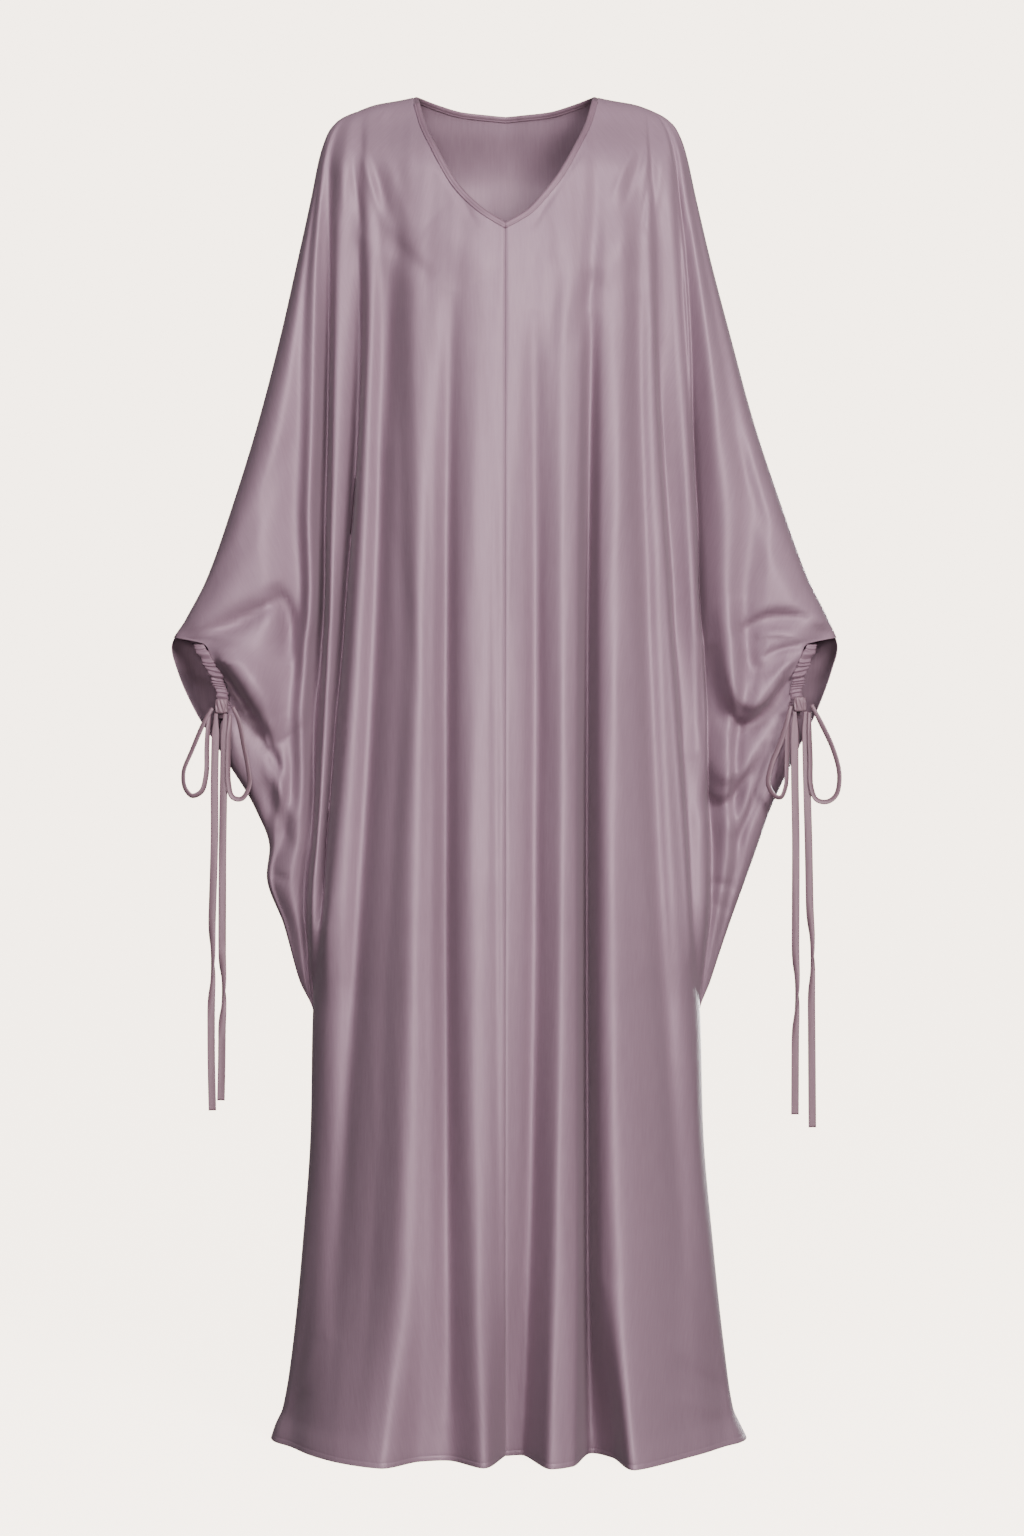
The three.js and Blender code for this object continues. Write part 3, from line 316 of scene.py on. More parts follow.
# A valley leaves at least this share of the depth, and goes over into it softly. Creases fade out
# where the cloth comes close to the side seams.
LEAST_DEPTH = 0.35
VALLEY_BLEND = 0.2
VALLEY_BLEND_DEPTH = 20.0
CREASE_FULL_DEPTH = 30.0

# A crease is drawn in straight steps along its bend, is flat beyond some widths, and fades out
# towards its ends.
BEND_STEPS = 18
CREASE_WIDTHS = 3.2
CREASE_FADE = 0.7


def between(t: Array, low: Array, high: Array, first: Array, last: Array) -> Array:
    """Draw a curve from one value to the next, with a slope at each end."""
    return (
        low * (1 + 2 * t) * (1 - t) ** 2
        + first * t * (1 - t) ** 2
        + high * t * t * (3 - 2 * t)
        + last * t * t * (t - 1)
    )


def steady_slope(one: Array, two: Array) -> Array:
    """Give the slope between two steps that keeps a curve from overshooting."""
    total = np.where(one + two == 0, 1, one + two)
    return np.where(one * two <= 0, 0, 2 * one * two / total)


def curve_through(xs: Sequence[float], ys: Sequence[float], at: Array) -> Array:
    """Read a curve through a table's rows, without overshoot between them.

    Args:
        xs: Places of the rows, all rising or all falling.
        ys: Values of the rows.
        at: Places to read the curve at.

    Returns:
        The curve's values, held level beyond the first and last row.
    """
    x, y = np.asarray(xs, float), np.asarray(ys, float)
    if x[0] > x[-1]:
        x, y = x[::-1], y[::-1]
    slopes = np.diff(y) / np.diff(x)
    tangents = np.empty_like(y)
    tangents[0], tangents[-1] = slopes[0], slopes[-1]
    tangents[1:-1] = steady_slope(slopes[:-1], slopes[1:])
    q = np.clip(np.asarray(at, float), x[0], x[-1])
    i = np.clip(np.searchsorted(x, q, side="right") - 1, 0, len(x) - 2)
    span = x[i + 1] - x[i]
    return between((q - x[i]) / span, y[i], y[i + 1], tangents[i] * span, tangents[i + 1] * span)


def smooth_step(low: float, high: float, value: Array) -> Array:
    """Rise smoothly from 0 at low to 1 at high."""
    t = np.clip((np.asarray(value, float) - low) / (high - low), 0, 1)
    return t * t * (3 - 2 * t)


def quarter_round(t: Array) -> Array:
    """Rise from 0 to 1 along a quarter circle."""
    return np.sqrt(1 - (1 - np.clip(t, 0, 1)) ** 2)


def soft_max(a: Array, b: Array, blend: Array) -> Array:
    """Take the larger of two values, rounded over where they meet."""
    return 0.5 * (a + b + np.hypot(a - b, blend))


def level(name: str, z: Array) -> Array:
    """Read one named measure of the robe at a height."""
    return curve_through([row.z for row in LEVELS], [getattr(row, name) for row in LEVELS], z)


def creased(creases: Sequence[Crease], x: Array, z: Array) -> Array:
    """Add up how far a set of creases pushes places outwards.

    Args:
        creases: The creases, each a bend with its height and its two widths.
        x: Distances from the middle.
        z: Heights.

    Returns:
        The outward push at each place.
    """
    push = np.zeros_like(x)
    for crease in creases:
        start, via, end = (np.array(p, float) for p in (crease.start, crease.via, crease.end))
        margin = CREASE_WIDTHS * max(crease.above, crease.below)
        low = np.minimum(np.minimum(start, via), end) - margin
        high = np.maximum(np.maximum(start, via), end) + margin
        near = (x > low[0]) & (x < high[0]) & (z > low[1]) & (z < high[1])
        if not near.any():
            continue
        px, pz = x[near], z[near]
        best = np.full(px.shape, np.inf)
        share = np.zeros_like(px)
        upper = np.zeros_like(px)
        corners = [
            (1 - t) ** 2 * start + 2 * t * (1 - t) * via + t * t * end
            for t in (k / BEND_STEPS for k in range(BEND_STEPS + 1))
        ]
        for k, (a, b) in enumerate(zip(corners, corners[1:])):
            run = b - a
            along = np.clip(((px - a[0]) * run[0] + (pz - a[1]) * run[1]) / (run @ run), 0, 1)
            dx, dz = px - a[0] - along * run[0], pz - a[1] - along * run[1]
            distance = np.hypot(dx, dz)
            nearer = distance < best
            best = np.where(nearer, distance, best)
            share = np.where(nearer, (k + along) / BEND_STEPS, share)
            upper = np.where(nearer, run[0] * dz - run[1] * dx < 0, upper)
        width = np.where(upper > 0.5, crease.above, crease.below)
        fade = np.sin(np.pi * np.clip(share, 0, 1)) ** CREASE_FADE
        push[near] += crease.out * np.exp(-((best / width) ** 2)) * fade
    return push


class Form:
    """One layer of the robe on one side: where its cloth lies, fold by fold.

    Args:
        side: The wearer's side.
        layer: The front or the back.
        creases: Creases that only this dressed cloth has, on top of the large swags.
    """

    def __init__(self, side: Side, layer: Layer, creases: Sequence[Crease] = ()) -> None:
        self.side = side
        self.layer = layer
        front = layer is Layer.FRONT
        self.reach_name = side.name.lower()
        self.body_name = "body_" + side.name.lower()
        self.body = (FRONT_FOLDS if front else BACK_FOLDS)[side]
        self.sleeve = FRONT_SLEEVE_FOLDS[side] if front else BACK_SLEEVE_FOLDS
        self.neck = FRONT_NECK if front else BACK_NECK
        self.swags = SWAGS[side] if front else ()
        self.creases = creases
        self.body_count = len(self.body)
        self.last = self.body_count + len(self.sleeve) - 1

    def reach(self, z: Array) -> Array:
        """Give the sleeve panel's free edge at a height: the outline, or the casing's seam."""
        outline = level(self.reach_name, z)
        if self.layer is Layer.BACK:
            return outline
        inside = (z < OPENING_TOP) & (z > OPENING_FOOT)
        return np.where(inside, self.rim("panel", z), outline)

    def rim(self, name: str, z: Array) -> Array:
        """Read an edge of the sleeve opening at a height, shifted out on the left."""
        heights = [row.z for row in OPENING]
        edge = curve_through(heights, [getattr(row, name) for row in OPENING], z)
        if self.side is Side.LEFT:
            edge = edge + curve_through(heights, [row.left_shift for row in OPENING], z)
        return edge

    def fold(self, i: int, z: Array) -> tuple[Array, Array]:
        """Give one fold's distance from the middle and its depth at heights."""
        room = level(self.body_name, z)
        if i < self.body_count:
            row = self.body[i]
            free = curve_through(BODY_HEIGHTS, row.across, z)
            limit = room * (FOLD_ROOM + FOLD_ROOM_GAIN * i / self.body_count)
            return np.minimum(free, limit), curve_through(BODY_HEIGHTS, row.deep, z)
        row = self.sleeve[i - self.body_count]
        inside = (z > SLEEVE_FOOT) & (z < SLEEVE_HEAD)
        outline = level(self.reach_name, z)
        share = curve_through(SLEEVE_HEIGHTS, row.share, z)
        drawn_in = self.drawn_in(z)
        x = room + share * (outline - room) - share**2 * drawn_in
        x = x + smooth_step(EDGE_SHARE, 1, share) * (self.reach(z) - outline + drawn_in)
        deep = curve_through(SLEEVE_HEIGHTS, row.deep, z)
        return np.where(inside, x, room), deep * smooth_step(SLEEVE_HEAD, SLEEVE_FOLDS_END, z)

    def drawn_in(self, z: Array) -> Array:
        """Give how far the tie draws the front of the sleeve in, at a height."""
        if self.layer is Layer.BACK:
            return np.zeros_like(z)
        return DRAWN_IN * smooth_step(*DRAWN_IN_BELOW, z) * smooth_step(*DRAWN_IN_ABOVE, z)

    def column(self, place: float, z: Array) -> tuple[Array, Array]:
        """Give a column's distance from the middle and its depth at heights.

        Args:
            place: The column's place, counted in folds.
            z: Heights.

        Returns:
            Distances from the middle and depths.
        """
        i = min(self.last - 1, int(place))
        t = place - i
        around = [self.fold(min(self.last, max(0, i + k)), z) for k in (-1, 0, 1, 2)]
        results = []
        for part in (0, 1):
            before, low, high, after = (pair[part] for pair in around)
            middle = high - low
            first = middle if i == 0 else steady_slope(low - before, middle)
            last = middle if i + 1 == self.last else steady_slope(middle, after - high)
            results.append(between(t, low, high, first, last))
        return results[0], results[1]

    def base(self, x: Array, z: Array) -> Array:
        """Give the robe's depth before any fold."""
        reach = level(self.reach_name, z)
        depth = level(self.layer.name.lower(), z)
        sleeved = smooth_step(SLEEVE_FOOT, SLEEVE_THICKENS_BY, z)
        under = UNDER_SLEEVE * smooth_step(SLEEVE_FOOT, UNDER_SLEEVE_BY, z)
        body_reach = level(self.body_name, z) + under + CHEST_WIDENING * smooth_step(*CHEST, z)
        body = depth * np.sqrt(np.maximum(0, 1 - (x / body_reach) ** SQUARENESS))
        thick = level("sleeve", z) * sleeved
        full = np.where(sleeved > 0, soft_max(body, thick, SLEEVE_BLEND * sleeved), body)
        rounding = np.maximum(EDGE_ROUNDING * sleeved, TOUCHING)
        edge = np.where(sleeved > 0, quarter_round((reach - x) / rounding), 1)
        by_crest = smooth_step(*CREST_TAKES_OVER, z)
        ridge = curve_through([p.x for p in CREST], [p.z for p in CREST], x)
        crest = quarter_round((ridge - z) / CREST_ROUNDING)
        return full * edge ** (1 - by_crest) * crest**by_crest

    def out(self, x: Array, z: Array, hollow: Array | float, fine: bool = True) -> Array:
        """Give how far the cloth lies from the side seams' plane.

        Args:
            x: Distances from the middle.
            z: Heights.
            hollow: How deep the folds lie there.
            fine: Whether the small creases are added.

        Returns:
            The distance to the front or to the back.
        """
        base = self.base(x, z)
        blend = VALLEY_BLEND * np.minimum(base, VALLEY_BLEND_DEPTH)
        free = soft_max(base - hollow, LEAST_DEPTH * base, blend)
        kept = np.minimum(1, base / CREASE_FULL_DEPTH)
        free = free + creased(self.swags, x, z) * kept
        if fine:
            free = free + creased(self.creases, x, z) * kept
        return np.maximum(0, free)

    def top(self, place: float) -> float:
        """Give the height of the panel's upper edge above a place of the body."""
        x, _ = self.column(place, np.array([SLEEVE_HEAD]))
        curve = self.neck if x[0] < NECK_HALF_WIDTH - TOUCHING else CREST
        return float(curve_through([p.x for p in curve], [p.z for p in curve], x)[0])


# Small creases of the dressed cloth, beside the large swags above.
FRONT_CREASES = {
    Side.RIGHT: (
        Crease("shoulder streak, outer", (171, 1350), (170, 1322), (168, 1284), 1.8, 3.5, 3.5),
        Crease("shoulder valley, outer", (162, 1354), (155, 1311), (148, 1262), -2.8, 4, 4),
        Crease("shoulder streak, middle", (154, 1360), (140, 1317), (126, 1272), 2.2, 4, 4),
        Crease("shoulder valley, middle", (147, 1362), (130, 1317), (112, 1262), -3.0, 5, 6),
        Crease("shoulder streak, inner", (135, 1366), (114, 1317), (97, 1264), 1.8, 6, 6),
        Crease("neck gather, upper", (82, 1356), (72, 1338), (60, 1322), -1.8, 2.8, 3.8),
        Crease("neck gather, middle", (64, 1326), (54, 1308), (42, 1292), -1.6, 2.8, 3.8),
        Crease("neck gather, lower", (45, 1298), (38, 1284), (29, 1266), -1.4, 2.8, 3.8),
        Crease("shadow under the chest", (112, 1270), (124, 1190), (116, 1040), -8.0, 14, 10),
        Crease("below the chest", (126, 1268), (104, 1240), (76, 1212), -4.0, 8, 12),
        Crease("chest", (76, 1274), (48, 1250), (24, 1214), 4.5, 22, 24),
        Crease("flap turned in", (356, 845), (336, 846), (308, 838), -15.0, 15, 12),
        Crease("sleeve line", (183, 1352), (186, 988), (199, 600), -22.0, 4.6, 4.6),
        Crease("body line", (150, 1260), (159, 870), (193, 540), -26.0, 8, 7),
        Crease("hip pull", (112, 960), (100, 880), (94, 760), -1.8, 7, 9),
        Crease("first valley's bed", (56, 1200), (64, 700), (58, 40), -15.0, 8, 9),
        Crease("side valley's bed", (127, 1240), (126, 860), (182, 120), -16.0, 12, 10),
        Crease("line beside the seam", (12, 1000), (9, 560), (7, 120), -3.0, 3.4, 3.4),
        Crease("hem corner, low", (206, 62), (226, 34), (240, 18), -4.0, 6, 5),
        Crease("hem corner, high", (196, 110), (216, 60), (236, 30), 3.4, 8, 7),
        Crease("crease to the shoulder side", (326, 842), (284, 855), (232, 892), -11.0, 4, 7),
        Crease("teardrop hollow", (244, 900), (220, 872), (231, 820), -20.0, 8, 9),
        Crease("recess under the swag", (305, 822), (275, 778), (234, 700), -21.0, 4.5, 13),
        Crease("swag's crown", (294, 836), (268, 806), (240, 764), 8.0, 12, 9),
        Crease("fall from the knot", (294, 774), (266, 716), (226, 620), -12.0, 8, 13),
        Crease("ridge from the knot", (288, 786), (256, 727), (220, 650), 8.0, 6, 6),
        Crease("outer fall", (222, 800), (227, 706), (246, 600), 6.0, 9, 9),
        Crease("valley by the outer fall", (236, 760), (243, 685), (258, 618), -5.0, 7, 7),
        Crease("casing pucker 1", (318, 843), (302, 852), (280, 849), 5.0, 3.4, 3.4),
        Crease("casing pucker 2", (314, 834), (300, 840), (284, 840), -5.0, 3, 3),
        Crease("casing pucker 3", (309, 820), (296, 822), (280, 815), 4.4, 3, 3),
        Crease("casing pucker 4", (300, 802), (290, 800), (279, 790), -3.0, 2.8, 2.8),
        Crease("casing pucker 5", (297, 787), (286, 782), (274, 768), 2.6, 3, 3),
        Crease("upper sleeve streak", (296, 900), (262, 960), (226, 1060), -3.0, 9, 9),
        Crease("sleeve tip streak", (334, 862), (312, 890), (284, 940), -2.6, 6, 8),
        Crease("notch crumple", (246, 598), (238, 590), (226, 592), -4.0, 4, 4),
        Crease("wing streak", (236, 572), (222, 528), (214, 480), -3.0, 6, 6),
    ),
    Side.LEFT: (
        Crease("shoulder streak, inner", (137, 1362), (124, 1332), (109, 1296), 2.2, 4, 4),
        Crease("shoulder valley, inner", (146, 1360), (133, 1322), (118, 1280), -2.8, 5, 4),
        Crease("shoulder streak, middle", (162, 1354), (161, 1322), (157, 1284), 2.0, 3.6, 3.6),
        Crease("shoulder valley, middle", (154, 1354), (149, 1317), (142, 1270), -2.8, 4, 4),
        Crease("shoulder streak, outer", (177, 1354), (183, 1322), (190, 1276), 1.8, 3.6, 3.6),
        Crease("neck gather, upper", (82, 1354), (71, 1336), (59, 1318), -1.8, 3.8, 2.8),
        Crease("neck gather, middle", (62, 1322), (52, 1304), (41, 1288), -1.5, 3.8, 2.8),
        Crease("neck gather, lower", (43, 1294), (36, 1280), (27, 1264), -1.3, 3.8, 2.8),
        Crease("chest", (140, 1274), (116, 1248), (92, 1212), 5.0, 20, 22),
        Crease("below the chest", (96, 1226), (80, 1196), (74, 1140), -4.0, 10, 8),
        Crease("chest's side", (58, 1236), (50, 1200), (44, 1130), -3.0, 10, 10),
        Crease("flap turned in", (354, 845), (336, 846), (310, 838), -15.0, 13, 12),
        Crease("sleeve line", (176, 1360), (201, 1030), (214, 600), -22.0, 4.6, 4.6),
        Crease("body line", (160, 1160), (158, 930), (198, 400), -11.0, 9, 9),
        Crease("hip pull", (128, 980), (116, 900), (110, 800), -1.8, 9, 7),
        Crease("deep valley's bed", (90, 1180), (81, 700), (88, 20), -30.0, 7.5, 8),
        Crease("seam valley's bed", (29, 1180), (35, 640), (20, 40), -13.0, 8, 8),
        Crease("side valley's bed", (137, 1200), (142, 800), (186, 160), -13.0, 9, 10),
        Crease("hem's great fold", (104, 190), (108, 90), (124, 4), 7.0, 7, 12),
        Crease("hem corner, high", (172, 100), (204, 72), (240, 44), -5.0, 6, 8),
        Crease("hem corner, low", (176, 66), (206, 44), (242, 24), 4.0, 7, 6),
        Crease("arc over the swag", (342, 846), (290, 892), (246, 850), -10.0, 4, 7),
        Crease("recess under the swag", (307, 828), (236, 674), (220, 838), -18.0, 5, 13),
        Crease("scoop", (296, 842), (250, 764), (246, 884), -10.0, 11, 11),
        Crease("second swag", (294, 786), (222, 628), (208, 756), 8.0, 14, 7),
        Crease("recess under the second swag", (292, 768), (216, 598), (202, 724), -12.0, 5, 14),
        Crease("casing pucker 1", (312, 842), (290, 856), (262, 846), 6.0, 4.5, 4),
        Crease("casing pucker 2", (311, 834), (292, 838), (268, 822), -6.0, 3.6, 3.6),
        Crease("casing pucker 3", (309, 824), (292, 818), (276, 796), 5.0, 3.6, 3.6),
        Crease("casing pucker 4", (304, 806), (292, 794), (280, 776), -3.4, 3.2, 3.2),
        Crease("casing pucker 5", (305, 790), (296, 778), (288, 762), 2.8, 3, 3),
        Crease("sleeve tip fold", (348, 858), (330, 866), (306, 858), 4.0, 5, 5),
        Crease("streak to the foot", (299, 784), (274, 706), (244, 624), -9.0, 6, 6),
        Crease("second streak to the foot", (284, 738), (262, 676), (240, 612), -4.5, 5, 5),
        Crease("foot crumple, upper", (214, 583), (228, 590), (244, 578), -4.0, 3, 4),
        Crease("foot crumple, lower", (218, 566), (230, 560), (240, 556), -3.0, 4, 4),
        Crease("upper sleeve streak", (300, 906), (266, 970), (230, 1080), -3.0, 9, 9),
        Crease("wing streak", (240, 560), (226, 520), (216, 480), -3.0, 6, 6),
    ),
}
BACK_CREASES = {
    Side.RIGHT: (
        Crease("blade crease", (150, 1330), (132, 1290), (104, 1240), -3.0, 6, 9),
        Crease("yoke pull", (120, 1356), (104, 1310), (82, 1250), -2.2, 6, 7),
        Crease("sleeve pull", (214, 1210), (232, 1130), (262, 1000), -3.0, 9, 9),
        Crease("waist pull", (110, 1120), (98, 1060), (92, 980), -2.0, 8, 9),
        Crease("cuff crumple, upper", (350, 846), (326, 826), (298, 820), -4.0, 6, 6),
        Crease("cuff crumple, middle", (340, 812), (318, 800), (290, 806), 3.6, 6, 6),
        Crease("cuff crumple, lower", (326, 776), (308, 764), (276, 770), -4.0, 6, 6),
        Crease("cuff fall", (318, 770), (286, 700), (250, 620), -5.0, 8, 8),
        Crease("elbow swag", (300, 900), (262, 862), (222, 900), 6.0, 16, 9),
    ),
    Side.LEFT: (
        Crease("blade crease", (146, 1336), (126, 1288), (98, 1232), -2.8, 9, 6),
        Crease("yoke pull", (112, 1350), (96, 1300), (78, 1246), -2.0, 7, 6),
        Crease("sleeve pull", (212, 1200), (236, 1110), (268, 984), -3.0, 9, 9),
        Crease("cuff crumple, upper", (348, 844), (324, 830), (300, 818), -4.0, 6, 6),
        Crease("cuff crumple, middle", (338, 808), (316, 798), (294, 800), 3.6, 6, 6),
        Crease("cuff crumple, lower", (328, 772), (306, 766), (280, 764), -4.0, 6, 6),
        Crease("cuff fall", (316, 766), (288, 696), (252, 616), -5.0, 8, 8),
        Crease("elbow swag", (298, 896), (264, 856), (226, 892), 6.0, 16, 9),
        Crease("waist pull", (118, 1140), (108, 1070), (98, 990), -2.0, 9, 8),
    ),
}


class Ripple(NamedTuple):
    """A run of faint long ripples in the cloth: wave lengths, height and start of the wave."""

    across: float
    down: float
    height: float
    start: float


# Each ripple swells and fades along the robe's height, by a share of its own height.
SWELL_SHARE = 0.4
SWELL_HEIGHT = 97.0
SWELL_SHIFT = 2.1
RIPPLES = (
    Ripple(17, 310, 0.16, 0.4),
    Ripple(23, -420, 0.22, 1.9),
    Ripple(31, 260, 0.3, 3.3),
    Ripple(13, -190, 0.1, 5.1),
    Ripple(41, 520, 0.34, 2.6),
)


def rippled(x: Array, z: Array) -> Array:
    """Give the cloth's faint long ripples at places."""
    total = np.zeros_like(x)
    for wave in RIPPLES:
        turn = x / wave.across + z / wave.down
        swell = SWELL_SHARE * np.sin(z / SWELL_HEIGHT + SWELL_SHIFT * wave.start)
        strength = 1 - SWELL_SHARE + swell
        total += wave.height * strength * np.sin(2 * np.pi * turn + wave.start)
    return total


def to_frame(points: Array) -> Array:
    """Turn places in millimetres above the floor into metres from the neck points' middle."""
    return (np.asarray(points, float) - (0, 0, NECK_POINT_HEIGHT)) * MM


def make_object(
    name: str, points: Array, uvs: Array, flip: bool, index: Array | None = None
) -> bpy.types.Object:
    """Make a smooth-shaded sheet from a grid of points, with one UV place for each point.

    Args:
        name: The object's name.
        points: The points in millimetres above the floor.
        uvs: The place in the cloth of each point, in metres.
        flip: Whether the faces are turned round, to point outwards.
        index: The point numbers of the grid, where they aren't its own order.

    Returns:
        The new object, at the origin.
    """
    if index is None:
        index = np.arange(points[..., 0].size).reshape(points.shape[:2])
    mesh = bpy.data.meshes.new(name)
    mesh.from_pydata(to_frame(points.reshape(-1, 3)).tolist(), [], grid_faces(index, flip))
    layer = mesh.uv_layers.new(name="UVMap")
    corners = np.empty(len(mesh.loops), dtype=np.int32)
    mesh.loops.foreach_get("vertex_index", corners)
    flat = np.asarray(uvs, np.float32).reshape(-1, 2)
    layer.data.foreach_set("uv", flat[corners].ravel())
    mesh.update()
    mesh.shade_smooth()
    made = bpy.data.objects.new(name, mesh)
    bpy.context.scene.collection.objects.link(made)
    return made


def apply_modifiers(made: bpy.types.Object) -> None:
    """Apply all of an object's modifiers."""
    bpy.ops.object.select_all(action="DESELECT")
    bpy.context.view_layer.objects.active = made
    made.select_set(True)
    for modifier in list(made.modifiers):
        bpy.ops.object.modifier_apply(modifier=modifier.name)
    made.select_set(False)


def thicken(made: bpy.types.Object, thickness: float, offset: float = 0.0) -> None:
    """Give a sheet its cloth thickness in metres."""
    wall = made.modifiers.new("cloth thickness", "SOLIDIFY")
    wall.thickness = thickness
    wall.offset = offset
    wall.use_even_offset = False
    wall.use_rim = True
    apply_modifiers(made)


def finish_piece(
    made: bpy.types.Object, finish: bpy.types.Material, node: str
) -> None:
    """Give a piece its finish, hang it on what carries it, hide the part that it replaces and log
    its faces.
    """
    made.data.materials.append(finish)
    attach(made, "root")
    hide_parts(node)
    log.info("%s: %d faces", made.name, len(made.data.polygons))


def grid_faces(index: Array, flip: bool) -> list[list[int]]:
    """Join a grid of point numbers into faces, leaving out those that have no area."""
    faces = []
    corners = np.stack((index[:-1, :-1], index[:-1, 1:], index[1:, 1:], index[1:, :-1]), axis=-1)
    for quad in corners.reshape(-1, 4).tolist():
        face = [v for k, v in enumerate(quad) if v != quad[(k + 1) % 4]]
        if len(face) > 2:
            faces.append(face[::-1] if flip else face)
    return faces


HEM_ROWS = [0, 1.2, 2.4, 3.4, 4.2, 5.0, 6.0, 8.0]
ROW_STEP = 4.3
CUFF_ROW_STEP = 3.0
CREST_ROW_STEP = 0.45
SEAM_COLUMNS = [0.0, 0.03, 0.065, 0.11, 0.17]
EDGE_COLUMNS = 10
RIPPLE_FULL_DEPTH = 40.0


def row_levels() -> Array:
    """List the heights of a panel's rows, closer together at the hem, cuff and shoulder."""
    body = list(np.arange(12, OPENING_FOOT, ROW_STEP))
    cuff = list(np.arange(OPENING_FOOT, OPENING_TOP, CUFF_ROW_STEP)) + [OPENING_TOP]
    upper = list(np.arange(OPENING_TOP + 4, SLEEVE_HEAD, ROW_STEP))
    crest = [SLEEVE_HEAD - CREST_ROW_STEP * k * k for k in range(5, -1, -1)]
    return np.array([z for z in HEM_ROWS + body + cuff + upper if z < crest[0] - 1] + crest)


def eased(low: float, count: int) -> list[float]:
    """List places over one fold that come closer together towards its end."""
    return [low + 1 - (1 - k / count) ** 2 for k in range(1, count + 1)]


@dataclass
class HalfPanel:
    """One side of a front or of the back, as a grid of points."""

    form: Form
    per_body_fold: int
    per_sleeve_fold: int
    seam_dip: float = 1.3
    seam_half_width: float = 1.7
    hem_height: float = 5.0
    hem_roll: float = 0.35
    hem_stitch: float = 0.8
    seam_reach: float = 9.0
    points: Array = field(init=False)
    index: Array = field(init=False)
    uvs: Array = field(init=False)

    def places(self) -> tuple[list[float], int]:
        """List the columns' places and the number of the last one that the body has."""
        places = SEAM_COLUMNS + [k / self.per_body_fold for k in range(2, self.per_body_fold)]
        for i in range(1, self.form.body_count - 1):
            places += [i + k / self.per_body_fold for k in range(self.per_body_fold)]
        places.append(float(self.form.body_count - 1))
        places += eased(self.form.body_count - 1, EDGE_COLUMNS)
        inner = len(places) - 1
        for i in range(self.form.body_count, self.form.last - 1):
            places += [i + k / self.per_sleeve_fold for k in range(1, self.per_sleeve_fold + 1)]
        places += eased(self.form.last - 1, EDGE_COLUMNS)
        return places, inner

    def build(self, split: bool) -> None:
        """Work out the grid.

        Args:
            split: Whether a seam closes this side at the middle.
        """
        form = self.form
        levels = row_levels()
        places, inner = self.places()
        shape = (len(levels), len(places))
        x, deep, z = np.empty(shape), np.empty(shape), np.empty(shape)
        for column, place in enumerate(places):
            heights = levels.copy()
            if column <= inner:
                share = (form.top(place) - SLEEVE_HEAD) / (SLEEVE_HEAD - NECK_FOOT)
                heights += np.maximum(0, levels - NECK_FOOT) * share
            z[:, column] = heights
            x[:, column], deep[:, column] = form.column(place, heights)
        kept = np.clip(form.base(x, z) / RIPPLE_FULL_DEPTH, 0, 1)
        out = form.out(x, z, deep) + rippled(x, z) * kept
        self.close_edges(x, out, z, form.reach(z), inner)
        if split:
            out = out - self.seam_dip * np.exp(-((x / self.seam_half_width) ** 2))
        hem_line = self.hem_roll * np.exp(-(((z - self.hem_height) / self.hem_stitch) ** 2))
        out = out + np.where(z < self.hem_height, self.hem_roll, 0) - hem_line
        self.points = np.stack((form.side.value * x, form.layer.value * out, z), axis=-1)
        self.uvs = self.cloth_places(inner)
        sleeved = (levels > SLEEVE_FOOT) & (levels < SLEEVE_HEAD)
        self.index = np.arange(x.size).reshape(shape)
        self.index[~sleeved, inner + 1 :] = self.index[~sleeved, inner : inner + 1]

    def close_edges(self, x: Array, out: Array, z: Array, reach: Array, inner: int) -> None:
        """Bring the panel's outer edges to the seams, and turn them in a little.

        Args:
            x: Distances from the middle, changed here.
            out: Distances from the side seams' plane, changed here.
            z: Heights.
            reach: The panel's free edge at each place.
            inner: The last column of the body.
        """
        front = self.form.layer is Layer.FRONT
        levels = z[:, -1]
        opened = front & (levels < OPENING_TOP - 1) & (levels > OPENING_FOOT + 1)
        sleeved = (levels > SLEEVE_FOOT) & (levels < SLEEVE_HEAD)
        out[sleeved & ~opened, -1] = 0
        out[~sleeved, inner] = 0
        out[-1, x[-1] >= NECK_HALF_WIDTH - TOUCHING] = 0
        near_side = (reach - x < self.seam_reach) & ~opened[:, None]
        turn = self.seam_dip * np.exp(-((out / self.seam_half_width) ** 2))
        x[near_side] -= turn[near_side]
        beyond_neck = (x > NECK_HALF_WIDTH - 2) & (reach - x >= self.seam_reach)
        near_crest = (z > CREST_FOOT) & beyond_neck
        z[near_crest] -= turn[near_crest]

    def cloth_places(self, inner: int) -> Array:
        """Measure each point's place in the flat cloth, in metres."""
        steps_across = np.linalg.norm(np.diff(self.points, axis=1), axis=2)
        steps_up = np.linalg.norm(np.diff(self.points[..., 1:], axis=0), axis=2)
        across = np.pad(np.cumsum(steps_across, axis=1), ((0, 0), (1, 0)))
        up = np.pad(np.cumsum(steps_up, axis=0), ((1, 0), (0, 0)))
        up = np.where(np.arange(up.shape[1]) > inner, up[:, inner : inner + 1], up)
        return np.stack((self.form.side.value * across, up), axis=-1) * MM


